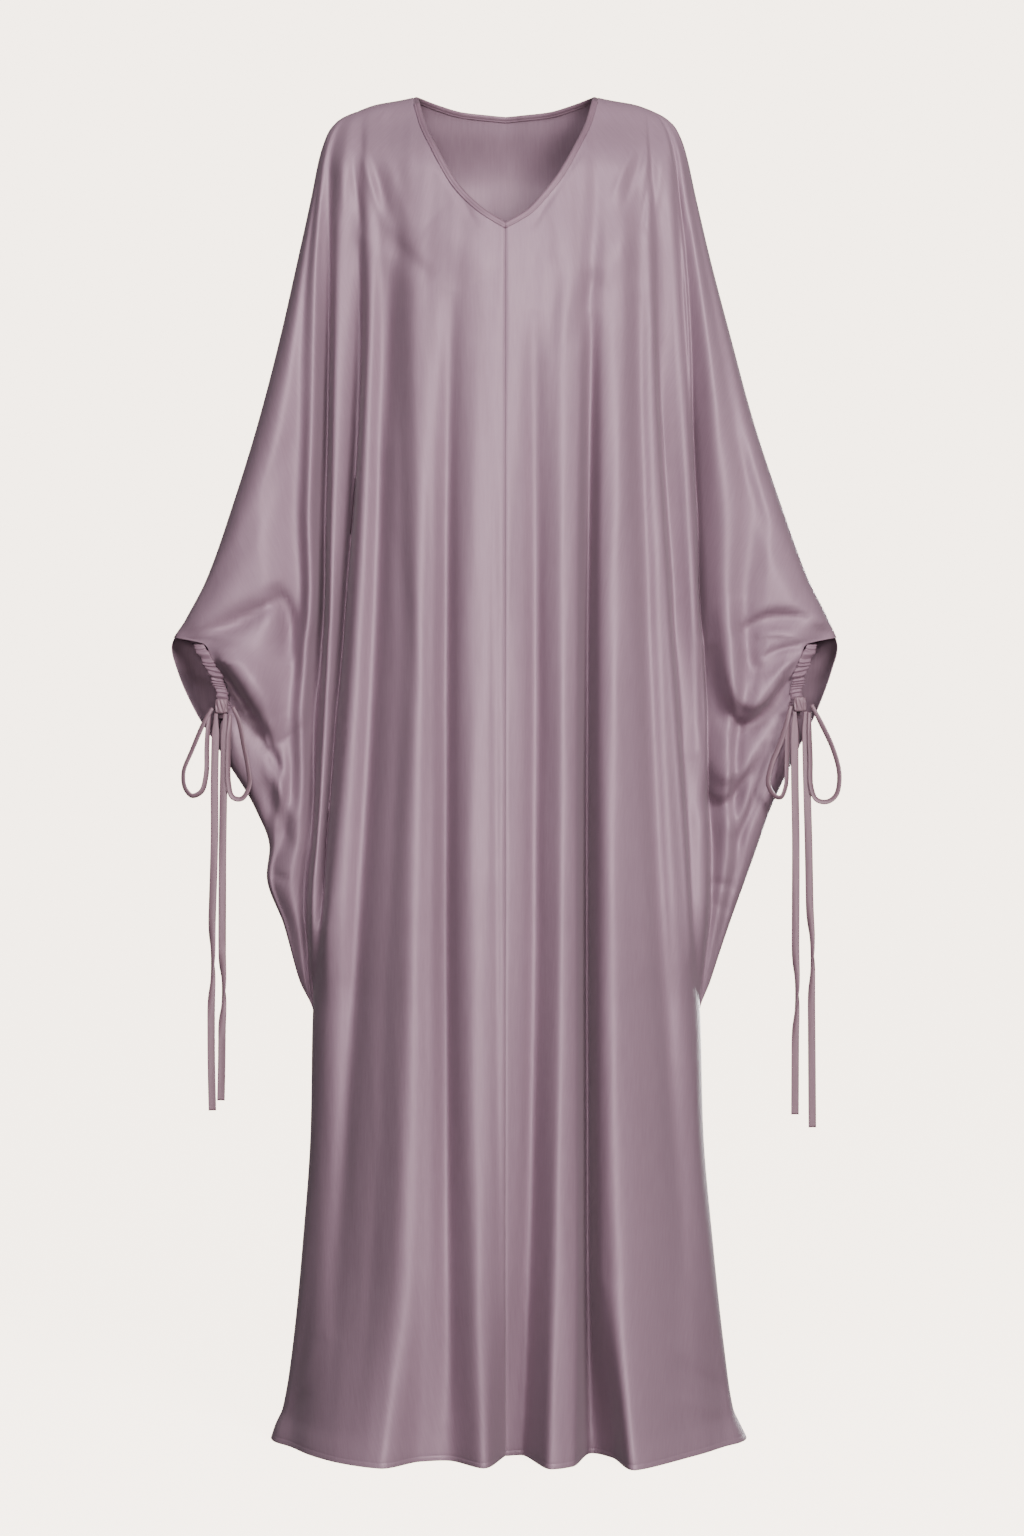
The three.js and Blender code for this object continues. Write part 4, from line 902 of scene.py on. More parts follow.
@dataclass
class Front:
    """A front panel with its sleeve, from the centre seam to the side seam."""

    side: Side
    flat: tuple[float, float]
    cut_area: float
    thickness: float = 0.0007
    half: HalfPanel = field(init=False)

    def build(self) -> bpy.types.Object:
        """Make the panel's cloth."""
        form = Form(self.side, Layer.FRONT, FRONT_CREASES[self.side])
        half = self.half = HalfPanel(form, per_body_fold=9, per_sleeve_fold=8)
        half.build(split=True)
        name = f"front_{self.side.name.lower()}_cloth"
        flip = self.side is Side.RIGHT
        made = make_object(name, half.points, half.uvs, flip, half.index)
        tidy_points(made)
        thicken(made, self.thickness)
        return made

    def dress(self, finish: bpy.types.Material) -> None:
        """Build the panel and give it its finish."""
        made = self.build()
        finish_piece(made, finish, f"front_{self.side.name.lower()}")


@dataclass
class Back:
    """The back with both sleeves, cut in one piece on the fold."""

    flat: tuple[float, float] = (1.24, 1.48)
    cut_area: float = 1.0
    thickness: float = 0.0007
    halves: list[HalfPanel] = field(default_factory=list)

    def build(self) -> bpy.types.Object:
        """Make the back's cloth from its two sides."""
        for side in (Side.RIGHT, Side.LEFT):
            form = Form(side, Layer.BACK, BACK_CREASES[side])
            half = HalfPanel(form, per_body_fold=6, per_sleeve_fold=5)
            half.build(split=False)
            self.halves.append(half)
        right, left = self.halves
        left_index = left.index + right.index.size
        left_index[:, 0] = right.index[:, 0]
        index = np.concatenate((right.index[:, ::-1], left_index[:, 1:]), axis=1)
        points = np.concatenate((right.points.reshape(-1, 3), left.points.reshape(-1, 3)))
        uvs = np.concatenate((right.uvs.reshape(-1, 2), left.uvs.reshape(-1, 2)))
        made = make_object("back_cloth", points, uvs, True, index)
        tidy_points(made)
        thicken(made, self.thickness)
        return made

    def dress(self, finish: bpy.types.Material) -> None:
        """Build the back and give it its finish."""
        made = self.build()
        finish_piece(made, finish, "back")


def tidy_points(made: bpy.types.Object) -> None:
    """Merge points that fall together and drop those that no face uses."""
    work = bmesh.new()
    work.from_mesh(made.data)
    bmesh.ops.remove_doubles(work, verts=work.verts, dist=MERGE_DISTANCE)
    loose = [v for v in work.verts if not v.link_faces]
    bmesh.ops.delete(work, geom=loose, context="VERTS")
    work.to_mesh(made.data)
    work.free()
    made.data.update()


def normal_of(form: Form, x: Array, z: Array) -> Array:
    """Give the outward direction of the form without its folds, at places."""
    reach = 3.0
    low = form.out(np.abs(x - reach), z - reach, 0, fine=False)
    across = (form.out(x + reach, z - reach, 0, fine=False) - low) / (2 * reach)
    up = (form.out(x, z, 0, fine=False) - form.out(x, z - reach, 0, fine=False)) / reach
    facing = np.full_like(across, form.layer.value)
    normals = np.stack((-form.side.value * across, facing, -up), axis=-1)
    return normals / np.linalg.norm(normals, axis=-1, keepdims=True)


def resample(points: Array, spacing: float) -> tuple[Array, Array]:
    """Place points evenly along a line.

    Args:
        points: The line's own points.
        spacing: About how far apart the new points are.

    Returns:
        The new points and where each lies between the old ones.
    """
    steps = np.linalg.norm(np.diff(points, axis=0), axis=1)
    at = np.concatenate(([0], np.cumsum(steps)))
    count = max(2, int(round(at[-1] / spacing)) + 1)
    wanted = np.linspace(0, at[-1], count)
    new = np.stack([np.interp(wanted, at, points[:, k]) for k in range(3)], axis=1)
    return new, np.interp(wanted, at, np.arange(len(points)))


def directions(points: Array) -> Array:
    """Give the direction of a line at each of its points."""
    run = np.gradient(points, axis=0)
    return run / np.linalg.norm(run, axis=1, keepdims=True)


@dataclass
class NeckBinding:
    """A folded strip of satin that closes over a neck edge, with its stitch line."""

    node: str
    flat_length: float
    flat_width: float = 0.0135
    spacing: float = 1.6
    width: float = 5.4
    half_height: float = 1.15
    thickness: float = 0.0005
    overlap: float = 0.9

    def profile(self) -> Array:
        """List the folded strip's section: how far inwards and how far out of the cloth."""
        w, h = self.width, self.half_height
        outer = [
            (-self.overlap, 0.75 * h),
            (-0.5, 0.98 * h),
            (0.3, 1.04 * h),
            (0.9, 0.82 * h),
            (1.2, 0.8 * h),
            (1.6, 0.98 * h),
            (2.6, 1.14 * h),
            (3.8, 1.1 * h),
            (0.8 * w, 0.86 * h),
            (0.92 * w, 0.5 * h),
            (w, 0),
        ]
        inner = [(across, -out) for across, out in outer[-2::-1]]
        return np.array(outer + inner)

    def build(
        self, edge: Array, normals: Array, cuts: Sequence[tuple[int, float]]
    ) -> bpy.types.Object:
        """Make the strip along an edge.

        Args:
            edge: The neck edge of the panel.
            normals: The cloth's outward direction along it.
            cuts: The axis and the plane that each end of the strip lies in.

        Returns:
            The strip.
        """
        line, at = resample(edge, self.spacing)
        old = np.arange(len(edge))
        facing = np.stack([np.interp(at, old, normals[:, k]) for k in range(3)], axis=1)
        facing /= np.linalg.norm(facing, axis=1, keepdims=True)
        run = directions(line)
        inward = np.cross(facing, run)
        inward /= np.linalg.norm(inward, axis=1, keepdims=True)
        inward *= np.sign(np.sum(inward * (NECK_MIDDLE - line), axis=1))[:, None]
        section = self.profile()
        points = (
            line[:, None]
            + section[None, :, :1] * inward[:, None]
            + section[None, :, 1:] * facing[:, None]
        )
        near = len(line) // 4
        for first, (axis, plane) in ((0, cuts[0]), (-1, cuts[1])):
            away = np.sign(line[len(line) // 2, axis] - plane)
            rows = range(near) if first == 0 else range(len(line) - near, len(line))
            for row in rows:
                shift = (plane - points[row, :, axis]) / run[first, axis]
                beyond = (points[row, :, axis] - plane) * away < 0
                moved = np.ones_like(beyond) if row == rows[first] else beyond
                points[row] += (shift * moved)[:, None] * run[first]
        around = np.concatenate(([0], np.cumsum(np.linalg.norm(np.diff(section, axis=0), axis=1))))
        long = np.arange(len(line)) * self.spacing
        uvs = np.stack(np.broadcast_arrays(around[None, :], long[:, None]), axis=-1) * MM
        out = np.cross(points[1, 2] - points[0, 2], points[0, 3] - points[0, 2])
        return make_object(f"{self.node}_cloth", points, uvs, float(out @ facing[0]) > 0)

    def dress(self, made: bpy.types.Object, finish: bpy.types.Material) -> None:
        """Give the strip its thickness and finish."""
        thicken(made, self.thickness)
        finish_piece(made, finish, self.node)


def neck_edge(half: HalfPanel) -> tuple[Array, Array]:
    """Read the neck edge off a panel's side, with the cloth's direction along it."""
    row = half.points[-1]
    x = np.abs(row[:, 0])
    _, inner = half.places()
    count = int(np.sum(x[: inner + 1] <= NECK_HALF_WIDTH + TOUCHING))
    edge = row[:count]
    return edge, normal_of(half.form, np.abs(edge[:, 0]), edge[:, 2])


class Wave(NamedTuple):
    """An uneven swing along a casing: its height, how fast it turns and where it starts."""

    height: float
    turns: float
    start: float


def swing(waves: Sequence[Wave], t: Array) -> Array:
    """Add up waves at places along a casing."""
    return sum(wave.height * np.sin(wave.turns * t + wave.start) for wave in waves)


@dataclass
class Casing:
    """A wrist casing: a narrow tube of satin, gathered on the tie inside it."""

    form: Form
    gathers: float = 17.0
    gather_height: float = 2.0
    tube_height: float = 2.5
    thickness: float = 0.0005
    steps: int = 190
    around: int = 28
    step_length: float = 0.9
    end_gap: float = 1.5
    above_cloth: float = 0.4
    least_gather: float = 0.62
    middle: float = 0.48
    tube_share: float = 0.72
    gather_share: float = 0.34
    drift: tuple[Wave, ...] = (Wave(0.55, 9, 1), Wave(0.35, 23, 0))
    sway: tuple[Wave, ...] = (Wave(0.06, 11, 0.5), Wave(0.05, 27, 0))
    flat: tuple[float, float] = (0.027, 0.125)

    def build(self) -> bpy.types.Object:
        """Make the tube along the edge of the sleeve opening."""
        form = self.form
        t = np.linspace(0, 1, self.steps)[:, None]
        turn = np.linspace(0, 2 * np.pi, self.around, endpoint=False)[None, :]
        tall = CASING_FOOT - CASING_TOP - 2 * self.end_gap
        z = CASING_TOP + self.end_gap + tall * t
        inner = form.rim("panel", z) - 1.0
        outer = form.rim("rim", z)
        # The waves keep the gathers uneven, as pulled cloth is.
        least, rest = self.least_gather, 1 - self.least_gather
        phase = self.gathers * t + swing(self.drift, t)
        uneven = least + rest * np.sin(15 * t + 2) * np.cos(31 * t)
        slant = 0.9 * np.cos(turn + 0.6 + 5 * t)
        ease = np.clip(np.minimum(10 * t, 10 * (1 - t)), 0, 1)
        gather = np.abs(np.sin(np.pi * phase + slant)) * uneven * ease
        swell = least + rest * gather
        wide = self.tube_share + self.gather_share * gather
        share = self.middle + swing(self.sway, t) - 0.5 * np.cos(turn) * wide
        x = inner + (outer - inner) * share
        height = (self.tube_height * swell + self.gather_height * (gather - 0.5)) * np.sin(turn)
        heights = np.broadcast_to(z, x.shape)
        y = form.out(np.clip(x, 0, None), heights, 0, fine=False) + height + self.above_cloth
        points = np.stack((form.side.value * x, form.layer.value * y, heights), axis=-1)
        index = np.arange(x.size).reshape(x.shape)
        index = np.concatenate((index, index[:, :1]), axis=1)
        lengths = np.linalg.norm(np.diff(points, axis=1), axis=2)
        u = np.pad(np.cumsum(lengths, axis=1), ((0, 0), (1, 0)))
        v = np.broadcast_to(self.step_length * np.arange(1, self.steps + 1)[:, None], u.shape)
        uvs = np.stack((u, v), axis=-1) * MM
        name = f"cuff_casing_{form.side.name.lower()}_cloth"
        return make_object(name, points, uvs, form.side is Side.LEFT, index)

    def dress(self, finish: bpy.types.Material) -> None:
        """Build the casing and give it its finish."""
        made = self.build()
        thicken(made, self.thickness, offset=-1.0)
        finish_piece(made, finish, f"cuff_casing_{self.form.side.name.lower()}")


class Tie(NamedTuple):
    """One side's bow: its knot (x, z and how far forward), and its tails and loops as places.

    The twist is the share of a tail's length at which it turns over.
    """

    knot: tuple[float, float, float]
    tails: dict[str, Sequence[tuple[float, float]]]
    twist: dict[str, float]
    loops: dict[str, Sequence[tuple[float, float]]]


TIES = {
    Side.RIGHT: Tie(
        knot=(-297.5, 772.8, 11.4),
        tails={
            "outer": (
                (-303.1, 765.2), (-304.6, 700), (-304.8, 632.7), (-307.6, 540),
                (-308, 519.8), (-308, 405.8), (-306.9, 349.3),
            ),
            "inner": (
                (-293.6, 765), (-295, 700), (-296.1, 632.7), (-296.6, 530),
                (-296.6, 488.4), (-297, 405.8), (-297.9, 359.8),
            ),
        },
        twist={"outer": 0.64, "inner": 0.72},
        loops={
            "outer": (
                (-308, 771.5), (-316.5, 758), (-330, 727), (-338.8, 704), (-337, 686),
                (-328.5, 677), (-317, 682), (-311.5, 700), (-310.6, 730), (-308.6, 766.5),
            ),
            "inner": (
                (-286.9, 771.5), (-281, 757), (-276, 732), (-271, 706), (-270, 690),
                (-277, 677.5), (-284.5, 679), (-288, 692), (-288.5, 715), (-286.6, 764),
            ),
        },
    ),
    Side.LEFT: Tie(
        knot=(308.5, 774.9, 10),
        tails={
            "outer": (
                (314.3, 767.3), (315.6, 700), (317.4, 632.7), (318.8, 560),
                (319.5, 535.5), (320.8, 430), (321.5, 331.5),
            ),
            "inner": (
                (303, 767.1), (303.2, 700), (304.2, 632.7), (303.8, 520),
                (303.8, 475.9), (303.5, 400), (303.3, 345.1),
            ),
        },
        twist={"outer": 0.58, "inner": 0.7},
        loops={
            "outer": (
                (319.2, 773.6), (326.8, 758.2), (341.4, 726.8), (347.7, 700.7), (344.6, 680.8),
                (336.2, 674.5), (326.8, 676.6), (321.9, 690.2), (321.4, 716.4), (319.7, 766.5),
            ),
            "inner": (
                (297.8, 773.6), (287, 737.3), (276.6, 711.1), (273.5, 690.2), (281.8, 676.6),
                (289.5, 675.8), (295.3, 688), (296.6, 716.4), (297.4, 764),
            ),
        },
    ),
}
FORWARD = {"tail": 3.5, "loop": 4.5}
LINE_STEPS = 24


def smooth_line(points: Sequence[Sequence[float]], spacing: float) -> Array:
    """Draw a smooth line through points, with new points evenly along it."""
    p = np.asarray(points, float)
    p = np.concatenate(([2 * p[0] - p[1]], p, [2 * p[-1] - p[-2]]))
    drawn = []
    for i in range(1, len(p) - 2):
        before, here, there, after = p[i - 1 : i + 3]
        d0, d1, d2 = (math.sqrt(np.linalg.norm(step)) for step in np.diff(p[i - 1 : i + 3], axis=0))
        first = ((here - before) / d0 - (there - before) / (d0 + d1) + (there - here) / d1) * d1
        last = ((there - here) / d1 - (after - here) / (d1 + d2) + (after - there) / d2) * d1
        t = np.linspace(0, 1, LINE_STEPS, endpoint=i == len(p) - 3)[:, None]
        drawn.append(between(t, here, there, first, last))
    return resample(np.concatenate(drawn), spacing)[0]


@dataclass
class Bow:
    """A bow at one wrist: the knot, its loops and its hanging tails, of flat ribbon."""

    side: Side
    knot_y: float
    ribbon_width: float = 8.0
    ribbon_thickness: float = 0.0008
    points_across: int = 11
    spacing: float = 2.0
    rest_curl: float = 0.35
    twist_curl: float = 3.0
    gathered_length: float = 24.0
    gathered_share: float = 0.45
    selvedge: float = 0.14
    selvedge_at: float = 0.86
    selvedge_share: float = 0.06
    twist_reach: float = 0.14
    loop_turn: float = 0.37
    turn_sway: float = 0.05
    knot_size: tuple[float, float, float] = (12.825, 10.2, 14.25)
    band_half_width: float = 4.75
    band_height: float = 0.0008
    knot_fold: float = 0.36

    def ribbon(self, name: str, line: Array, turns: Array, tail: bool) -> bpy.types.Object:
        """Make a flat ribbon along a line.

        Args:
            name: The object's name.
            line: The ribbon's middle line.
            turns: The half turns that its width has made, along the line.
            tail: Whether its far end hangs free, where a loop's is gathered into the knot too.

        Returns:
            The ribbon.
        """
        run = directions(line)
        across = np.cross(np.array((0, -1.0, 0)), run)
        across /= np.linalg.norm(across, axis=1, keepdims=True)
        angle = (np.pi * turns)[:, None]
        turned = across * np.cos(angle) + np.cross(run, across) * np.sin(angle)
        deep = np.cross(run, turned)
        share = np.linspace(-1, 1, self.points_across)
        along = np.arange(len(line)) * self.spacing
        gathered = along if tail else np.minimum(along, along[::-1])
        w = self.ribbon_width / 2
        opened = smooth_step(0, self.gathered_length, gathered)
        half = w * (self.gathered_share + (1 - self.gathered_share) * opened)
        from_selvedge = (np.abs(share) - self.selvedge_at) / self.selvedge_share
        curl = self.rest_curl + self.twist_curl * np.abs(np.sin(np.pi * turns))
        bend = self.selvedge * np.exp(-(from_selvedge**2)) - curl[:, None] * share**2
        sideways = half[:, None] * share
        points = line[:, None] + sideways[..., None] * turned[:, None]
        points += bend[..., None] * deep[:, None]
        uvs = np.stack(np.broadcast_arrays(w * share, along[:, None]), axis=-1) * MM
        made = make_object(name, points, uvs, True)
        thicken(made, self.ribbon_thickness)
        return made

    def build(self, finish: bpy.types.Material) -> None:
        """Make the bow and give each piece its finish."""
        tie = TIES[self.side]
        knot = self.knot(tie, finish)
        for which in ("outer", "inner"):
            for kind, places in (("tail", tie.tails[which]), ("loop", tie.loops[which])):
                tail = kind == "tail"
                path = [(x, self.knot_y - FORWARD[kind], z) for x, z in places]
                line = smooth_line(path, self.spacing)
                share = np.linspace(0, 1, len(line))
                if tail:
                    start, end = (tie.twist[which] + self.twist_reach * way for way in (-1, 1))
                    turns = smooth_step(start, end, share)
                else:
                    turns = np.full(len(line), self.loop_turn)
                waves = np.sin(9 * share + 2 * len(line)) * np.sin(np.pi * share)
                node = f"tie_{kind}_{which}_{self.side.name.lower()}"
                made = self.ribbon(f"{node}_ribbon", line, turns + self.turn_sway * waves, tail)
                finish_piece(made, finish, node)

    def knot(self, tie: Tie, finish: bpy.types.Material) -> bpy.types.Object:
        """Make the knot: a soft block with the ribbon's band wrapped over its front."""
        x, z, _ = tie.knot
        middle = to_frame(np.array((x, self.knot_y, z)))
        bpy.ops.object.select_all(action="DESELECT")
        bpy.ops.mesh.primitive_cube_add(size=1, location=tuple(middle))
        made = bpy.context.active_object
        made.name = f"knot_{self.side.name.lower()}_wrap"
        made.data.name = made.name
        made.scale = [side * MM for side in self.knot_size]
        bpy.ops.object.transform_apply(location=True, rotation=True, scale=True)
        bpy.ops.object.mode_set(mode="EDIT")
        bpy.ops.mesh.select_all(action="SELECT")
        bpy.ops.mesh.subdivide(number_cuts=4)
        bpy.ops.mesh.select_all(action="DESELECT")
        work = bmesh.from_edit_mesh(made.data)
        work.faces.ensure_lookup_table()
        for face in work.faces:
            place = face.calc_center_median()
            near = abs(place.x - middle[0]) < self.band_half_width * MM
            face.select = bool(near and abs(face.normal.x) < 0.7)
        bmesh.update_edit_mesh(made.data)
        lift = {"value": self.band_height}
        bpy.ops.mesh.extrude_region_shrink_fatten(TRANSFORM_OT_shrink_fatten=lift)
        bpy.ops.object.mode_set(mode="OBJECT")
        smooth = made.modifiers.new("soft satin", "SUBSURF")
        smooth.levels = smooth.render_levels = 3
        apply_modifiers(made)
        self.fold_knot(made, middle)
        made.data.shade_smooth()
        finish_piece(made, finish, f"knot_{self.side.name.lower()}")
        return made

    def fold_knot(self, made: bpy.types.Object, middle: Array) -> None:
        """Press the folds of the pulled ribbon into the knot."""
        for v in made.data.vertices:
            dx = (v.co.x - middle[0]) / MM
            dz = (v.co.z - middle[2]) / MM
            press = math.cos(1.5 * dx + 0.45 * dz + 0.8) * math.exp(-((dz / 7) ** 2))
            v.co.y += self.knot_fold * press * MM * (1 if v.co.y < middle[1] else -1)


def linear(colour: str) -> tuple[float, float, float, float]:
    """Turn an sRGB hex colour to linear values."""
    parts = [int(colour[k : k + 2], 16) / 255 for k in (1, 3, 5)]
    red, green, blue = (c / 12.92 if c <= 0.04045 else ((c + 0.055) / 1.055) ** 2.4 for c in parts)
    return (red, green, blue, 1.0)


def set_inputs(node: bpy.types.Node, values: dict) -> None:
    """Set a node's inputs, by name or number."""
    for name, value in values.items():
        node.inputs[name].default_value = value


def add_node(
    tree: bpy.types.NodeTree, kind: str, settings: dict | None = None, links: dict | None = None
) -> bpy.types.Node:
    """Add a node with its settings, and link its inputs.

    Args:
        tree: The material's node tree.
        kind: The node's type.
        settings: Attributes by name, or input values by name or number.
        links: Output sockets by the name or number of the input that they feed.

    Returns:
        The node.
    """
    node = tree.nodes.new(kind)
    for name, value in (settings or {}).items():
        if isinstance(name, str) and hasattr(node, name):
            setattr(node, name, value)
        else:
            set_inputs(node, {name: value})
    for name, socket in (links or {}).items():
        tree.links.new(socket, node.inputs[name])
    return node


@dataclass(frozen=True)
class CrepeSatin:
    """Matt crepe-backed satin: soft wide highlights on the folds, with a faint dry grain.

    The floats of the warp give it its glow, and the crepe-twist weft breaks that into fine
    slubs, so no highlight is sharp.
    """

    name: str
    colour: str
    shade: str
    roughness: float
    specular: float = 0.6
    specular_tint: str = "#dcc0d0"
    sheen: float = 0.08
    sheen_roughness: float = 0.4
    sheen_tint: str = "#e8dbe4"
    thread_mm: float = 1.1
    thread_share: float = 0.35
    slub_mm: float = 9.0
    slub_share: float = 1.2
    grain_scale: float = 900.0
    grain: float = 0.1
    grain_depth: float = 0.00025

    def material(self) -> bpy.types.Material:
        """Make the material."""
        made = bpy.data.materials.new(self.name)
        made.use_nodes = True
        tree = made.node_tree
        shader = tree.nodes["Principled BSDF"]
        set_inputs(shader, {
            "Roughness": self.roughness,
            "Specular IOR Level": self.specular,
            "Specular Tint": linear(self.specular_tint),
            "Sheen Weight": self.sheen,
            "Sheen Roughness": self.sheen_roughness,
            "Sheen Tint": linear(self.sheen_tint),
        })
        uv = add_node(tree, "ShaderNodeUVMap", {"uv_map": "UVMap"}).outputs["UV"]
        # Real threads lie about 0.2 mm apart. They are drawn at thread_mm, which is as fine as
        # a picture of the whole robe can show. The slubs are drawn long across the threads.
        threads = add_node(tree, "ShaderNodeTexWave", {
            "wave_type": "BANDS", "bands_direction": "X", "Scale": 1000 / self.thread_mm / 2,
            "Distortion": 3.0, "Detail": 2.0, "Detail Scale": 1.2,
        }, {"Vector": uv})
        slub = 1000 / self.slub_mm
        stretch = add_node(
            tree, "ShaderNodeMapping", {"Scale": (slub * 4, slub / 3, 1)}, {"Vector": uv}
        )
        slubs = add_node(
            tree, "ShaderNodeTexNoise", {"Scale": 1.0, "Detail": 4.0, "Roughness": 0.6},
            {"Vector": stretch.outputs["Vector"]},
        ).outputs["Fac"]
        grain = add_node(
            tree, "ShaderNodeTexNoise",
            {"Scale": self.grain_scale, "Detail": 2.0, "Roughness": 0.5}, {"Vector": uv},
        )
        tone = add_node(
            tree, "ShaderNodeMapRange", {"From Min": 0.3, "From Max": 0.7}, {"Value": slubs}
        )
        colour = add_node(
            tree, "ShaderNodeMix",
            {"data_type": "RGBA", 6: linear(self.shade), 7: linear(self.colour)},
            {0: tone.outputs["Result"]},
        )
        weave = add_node(
            tree, "ShaderNodeMath", {"operation": "MULTIPLY_ADD", 1: self.thread_share},
            {0: threads.outputs["Fac"], 2: grain.outputs["Fac"]},
        )
        total = add_node(
            tree, "ShaderNodeMath", {"operation": "MULTIPLY_ADD", 1: self.slub_share},
            {0: slubs, 2: weave.outputs["Value"]},
        )
        bump = add_node(
            tree, "ShaderNodeBump", {"Strength": self.grain, "Distance": self.grain_depth},
            {"Height": total.outputs["Value"]},
        )
        tree.links.new(colour.outputs[2], shader.inputs["Base Color"])
        tree.links.new(bump.outputs["Normal"], shader.inputs["Normal"])
        return made


@dataclass(frozen=True)
class PaperFloor:
    """Seamless studio paper: dead matt and pale, so it takes only a soft shadow."""

    name: str = "seamless paper, warm white"
    colour: str = "#faead9"
    shaded: str = "#b9b1a7"
    roughness: float = 0.9
    specular: float = 0.1
    glow: float = 5.7

    def material(self) -> bpy.types.Material:
        """Make the material."""
        made = bpy.data.materials.new(self.name)
        made.use_nodes = True
        set_inputs(made.node_tree.nodes["Principled BSDF"], {
            "Base Color": linear(self.shaded),
            "Roughness": self.roughness,
            "Specular IOR Level": self.specular,
            "Emission Color": linear(self.colour),
            "Emission Strength": self.glow,
        })
        return made


class Lamp(NamedTuple):
    """A soft square light: where it stands and points, its side in metres and its watts."""

    name: str
    place: tuple[float, float, float]
    aim: tuple[float, float, float]
    size: float
    power: float
    colour: str


# The key is high on the viewer's right and the front light is by the camera, where it also
# reaches into the neck and cuffs. The back light shows the robe's back alone.
BACK_LAMP = Lamp("back", (1.1, 3.7, -0.6), (0, 0, -0.8), 1.2, 280, "#ffffff")
LAMPS = (
    Lamp("key", (1.7, -4.0, 0.8), (0, 0, -0.7), 1.2, 345, "#fffaf5"),
    Lamp("front", (-0.2, -4.6, -0.5), (0, 0, -0.7), 0.7, 125, "#fffaf5"),
    Lamp("fill", (-2.3, -3.4, -0.3), (0, 0, -0.9), 1.2, 12, "#f6f7ff"),
    Lamp("top", (-0.1, -2.6, 1.7), (0, 0.1, -0.15), 1.0, 70, "#ffffff"),
)


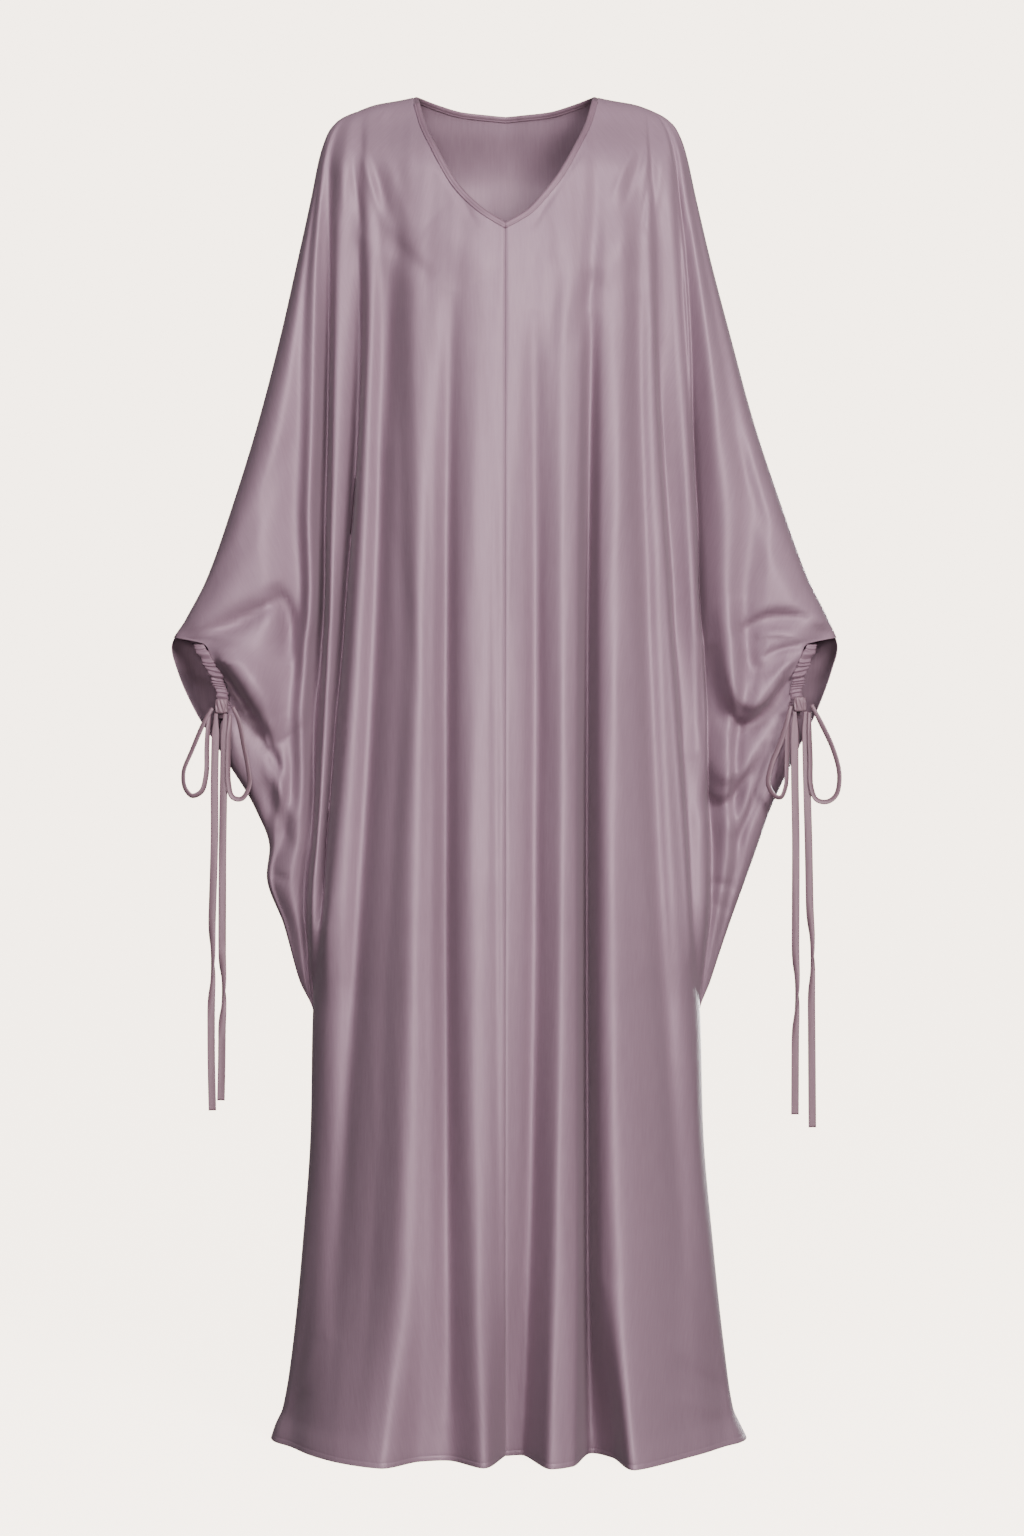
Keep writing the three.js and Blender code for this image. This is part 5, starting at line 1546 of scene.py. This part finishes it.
@dataclass
class Studio:
    """The camera, the soft lights, the paper floor and the pale room around it."""

    camera_place: tuple[float, float, float] = (0.0069, -4.3, -0.712)
    lens: float = 95.09
    sensor: tuple[float, float] = (24, 36)
    floor_z: float = -1.4206
    floor_size: float = 120.0
    ambient: float = 0.07
    ambient_colour: str = "#f6f3f0"
    paper: PaperFloor = PaperFloor()

    def camera(self) -> None:
        """Set up the camera, level with the robe's middle."""
        data = bpy.data.cameras.new("camera")
        data.lens = self.lens
        data.sensor_fit = "VERTICAL"
        data.sensor_width, data.sensor_height = self.sensor
        made = bpy.data.objects.new("camera", data)
        made.location = self.camera_place
        made.rotation_euler = (math.radians(90), 0, 0)
        bpy.context.scene.collection.objects.link(made)
        bpy.context.scene.camera = made

    def floor(self) -> bpy.types.Object:
        """Lay the paper floor, wide enough to meet the pale room all round.

        Returns:
            The floor.
        """
        bpy.ops.object.select_all(action="DESELECT")
        bpy.ops.mesh.primitive_plane_add(size=self.floor_size, location=(0, 0, self.floor_z))
        made = bpy.context.active_object
        made.name = "paper_floor"
        bpy.ops.object.transform_apply(location=True, rotation=True, scale=True)
        made.data.materials.append(self.paper.material())
        made.visible_diffuse = False
        made.visible_glossy = False
        return made

    def light(self, lamp: Lamp) -> bpy.types.Object:
        """Set up a light."""
        data = bpy.data.lights.new(lamp.name, "AREA")
        data.shape = "SQUARE"
        data.size = lamp.size
        data.energy = lamp.power
        data.color = linear(lamp.colour)[:3]
        made = bpy.data.objects.new(lamp.name, data)
        made.location = lamp.place
        facing = Vector(lamp.aim) - Vector(lamp.place)
        made.rotation_euler = facing.to_track_quat("-Z", "Y").to_euler()
        bpy.context.scene.collection.objects.link(made)
        return made

    def lights(self, floor: bpy.types.Object) -> None:
        """Set up the lights.

        Args:
            floor: The paper floor, which the light behind the robe leaves alone.
        """
        for lamp in LAMPS:
            self.light(lamp)
        spared = bpy.data.collections.new("paper_spared")
        spared.objects.link(floor)
        spared.collection_objects[0].light_linking.link_state = "EXCLUDE"
        self.light(BACK_LAMP).light_linking.receiver_collection = spared

    def room(self) -> None:
        """Make the room: as pale as the paper to look at, but giving only weak light."""
        world = bpy.context.scene.world or bpy.data.worlds.new("studio")
        bpy.context.scene.world = world
        world.use_nodes = True
        tree = world.node_tree
        ambient = tree.nodes["Background"]
        set_inputs(ambient, {"Color": linear(self.ambient_colour), "Strength": self.ambient})
        pale = {"Color": linear(self.paper.colour), "Strength": self.paper.glow}
        seen = add_node(tree, "ShaderNodeBackground", pale)
        path = add_node(tree, "ShaderNodeLightPath")
        mix = add_node(tree, "ShaderNodeMixShader", {}, {
            0: path.outputs["Is Camera Ray"],
            1: ambient.outputs["Background"],
            2: seen.outputs["Background"],
        })
        tree.links.new(mix.outputs["Shader"], tree.nodes["World Output"].inputs["Surface"])


def bind_back_neck(back: Back, finish: bpy.types.Material) -> None:
    """Bind the back's neck edge from one shoulder to the other."""
    (right_edge, right_normals), (left_edge, left_normals) = map(neck_edge, back.halves)
    edge = np.concatenate((right_edge[::-1], left_edge[1:]))
    normals = np.concatenate((right_normals[::-1], left_normals[1:]))
    binding = NeckBinding("neck_binding_back", 0.2)
    ends = ((1, BINDING_END), (1, BINDING_END))
    binding.dress(binding.build(edge, normals, ends), finish)


def knot_depth(side: Side) -> float:
    """Work out how far forward a knot's middle lies."""
    x, z, forward = TIES[side].knot
    form = Form(side, Layer.FRONT)
    at = form.out(np.array([abs(x)]), np.array([z]), 0, fine=False)
    return -float(at[0]) - forward


def main() -> None:
    """Build the robe, piece by piece."""
    logging.basicConfig(level=logging.INFO, format="%(name)s: %(message)s")
    studio = Studio()
    studio.camera()
    ribbon = CrepeSatin("polyester satin ribbon, mauve", "#655059", "#5c4751", 0.45)
    tape = ribbon.material()
    for side in Side:
        Bow(side, knot_depth(side)).build(tape)
    satin = CrepeSatin("crepe-back satin, mauve", "#786270", "#715b69", 0.52)
    trim = CrepeSatin("crepe-back satin, folded binding", "#6a5461", "#634d5a", 0.54)
    cloth, folded = satin.material(), trim.material()
    for side, cut_area in ((Side.RIGHT, 0.53), (Side.LEFT, 0.58)):
        front = Front(side, flat=(0.62, 1.48), cut_area=cut_area)
        front.dress(cloth)
        edge, normals = neck_edge(front.half)
        binding = NeckBinding(f"neck_binding_{side.name.lower()}", 0.24)
        ends = ((0, 0.0), (1, -BINDING_END))
        binding.dress(binding.build(edge, normals, ends), folded)
        Casing(Form(side, Layer.FRONT)).dress(folded)
    back = Back()
    back.dress(cloth)
    bind_back_neck(back, folded)
    studio.lights(studio.floor())
    studio.room()


if __name__ == "__main__":
    main()
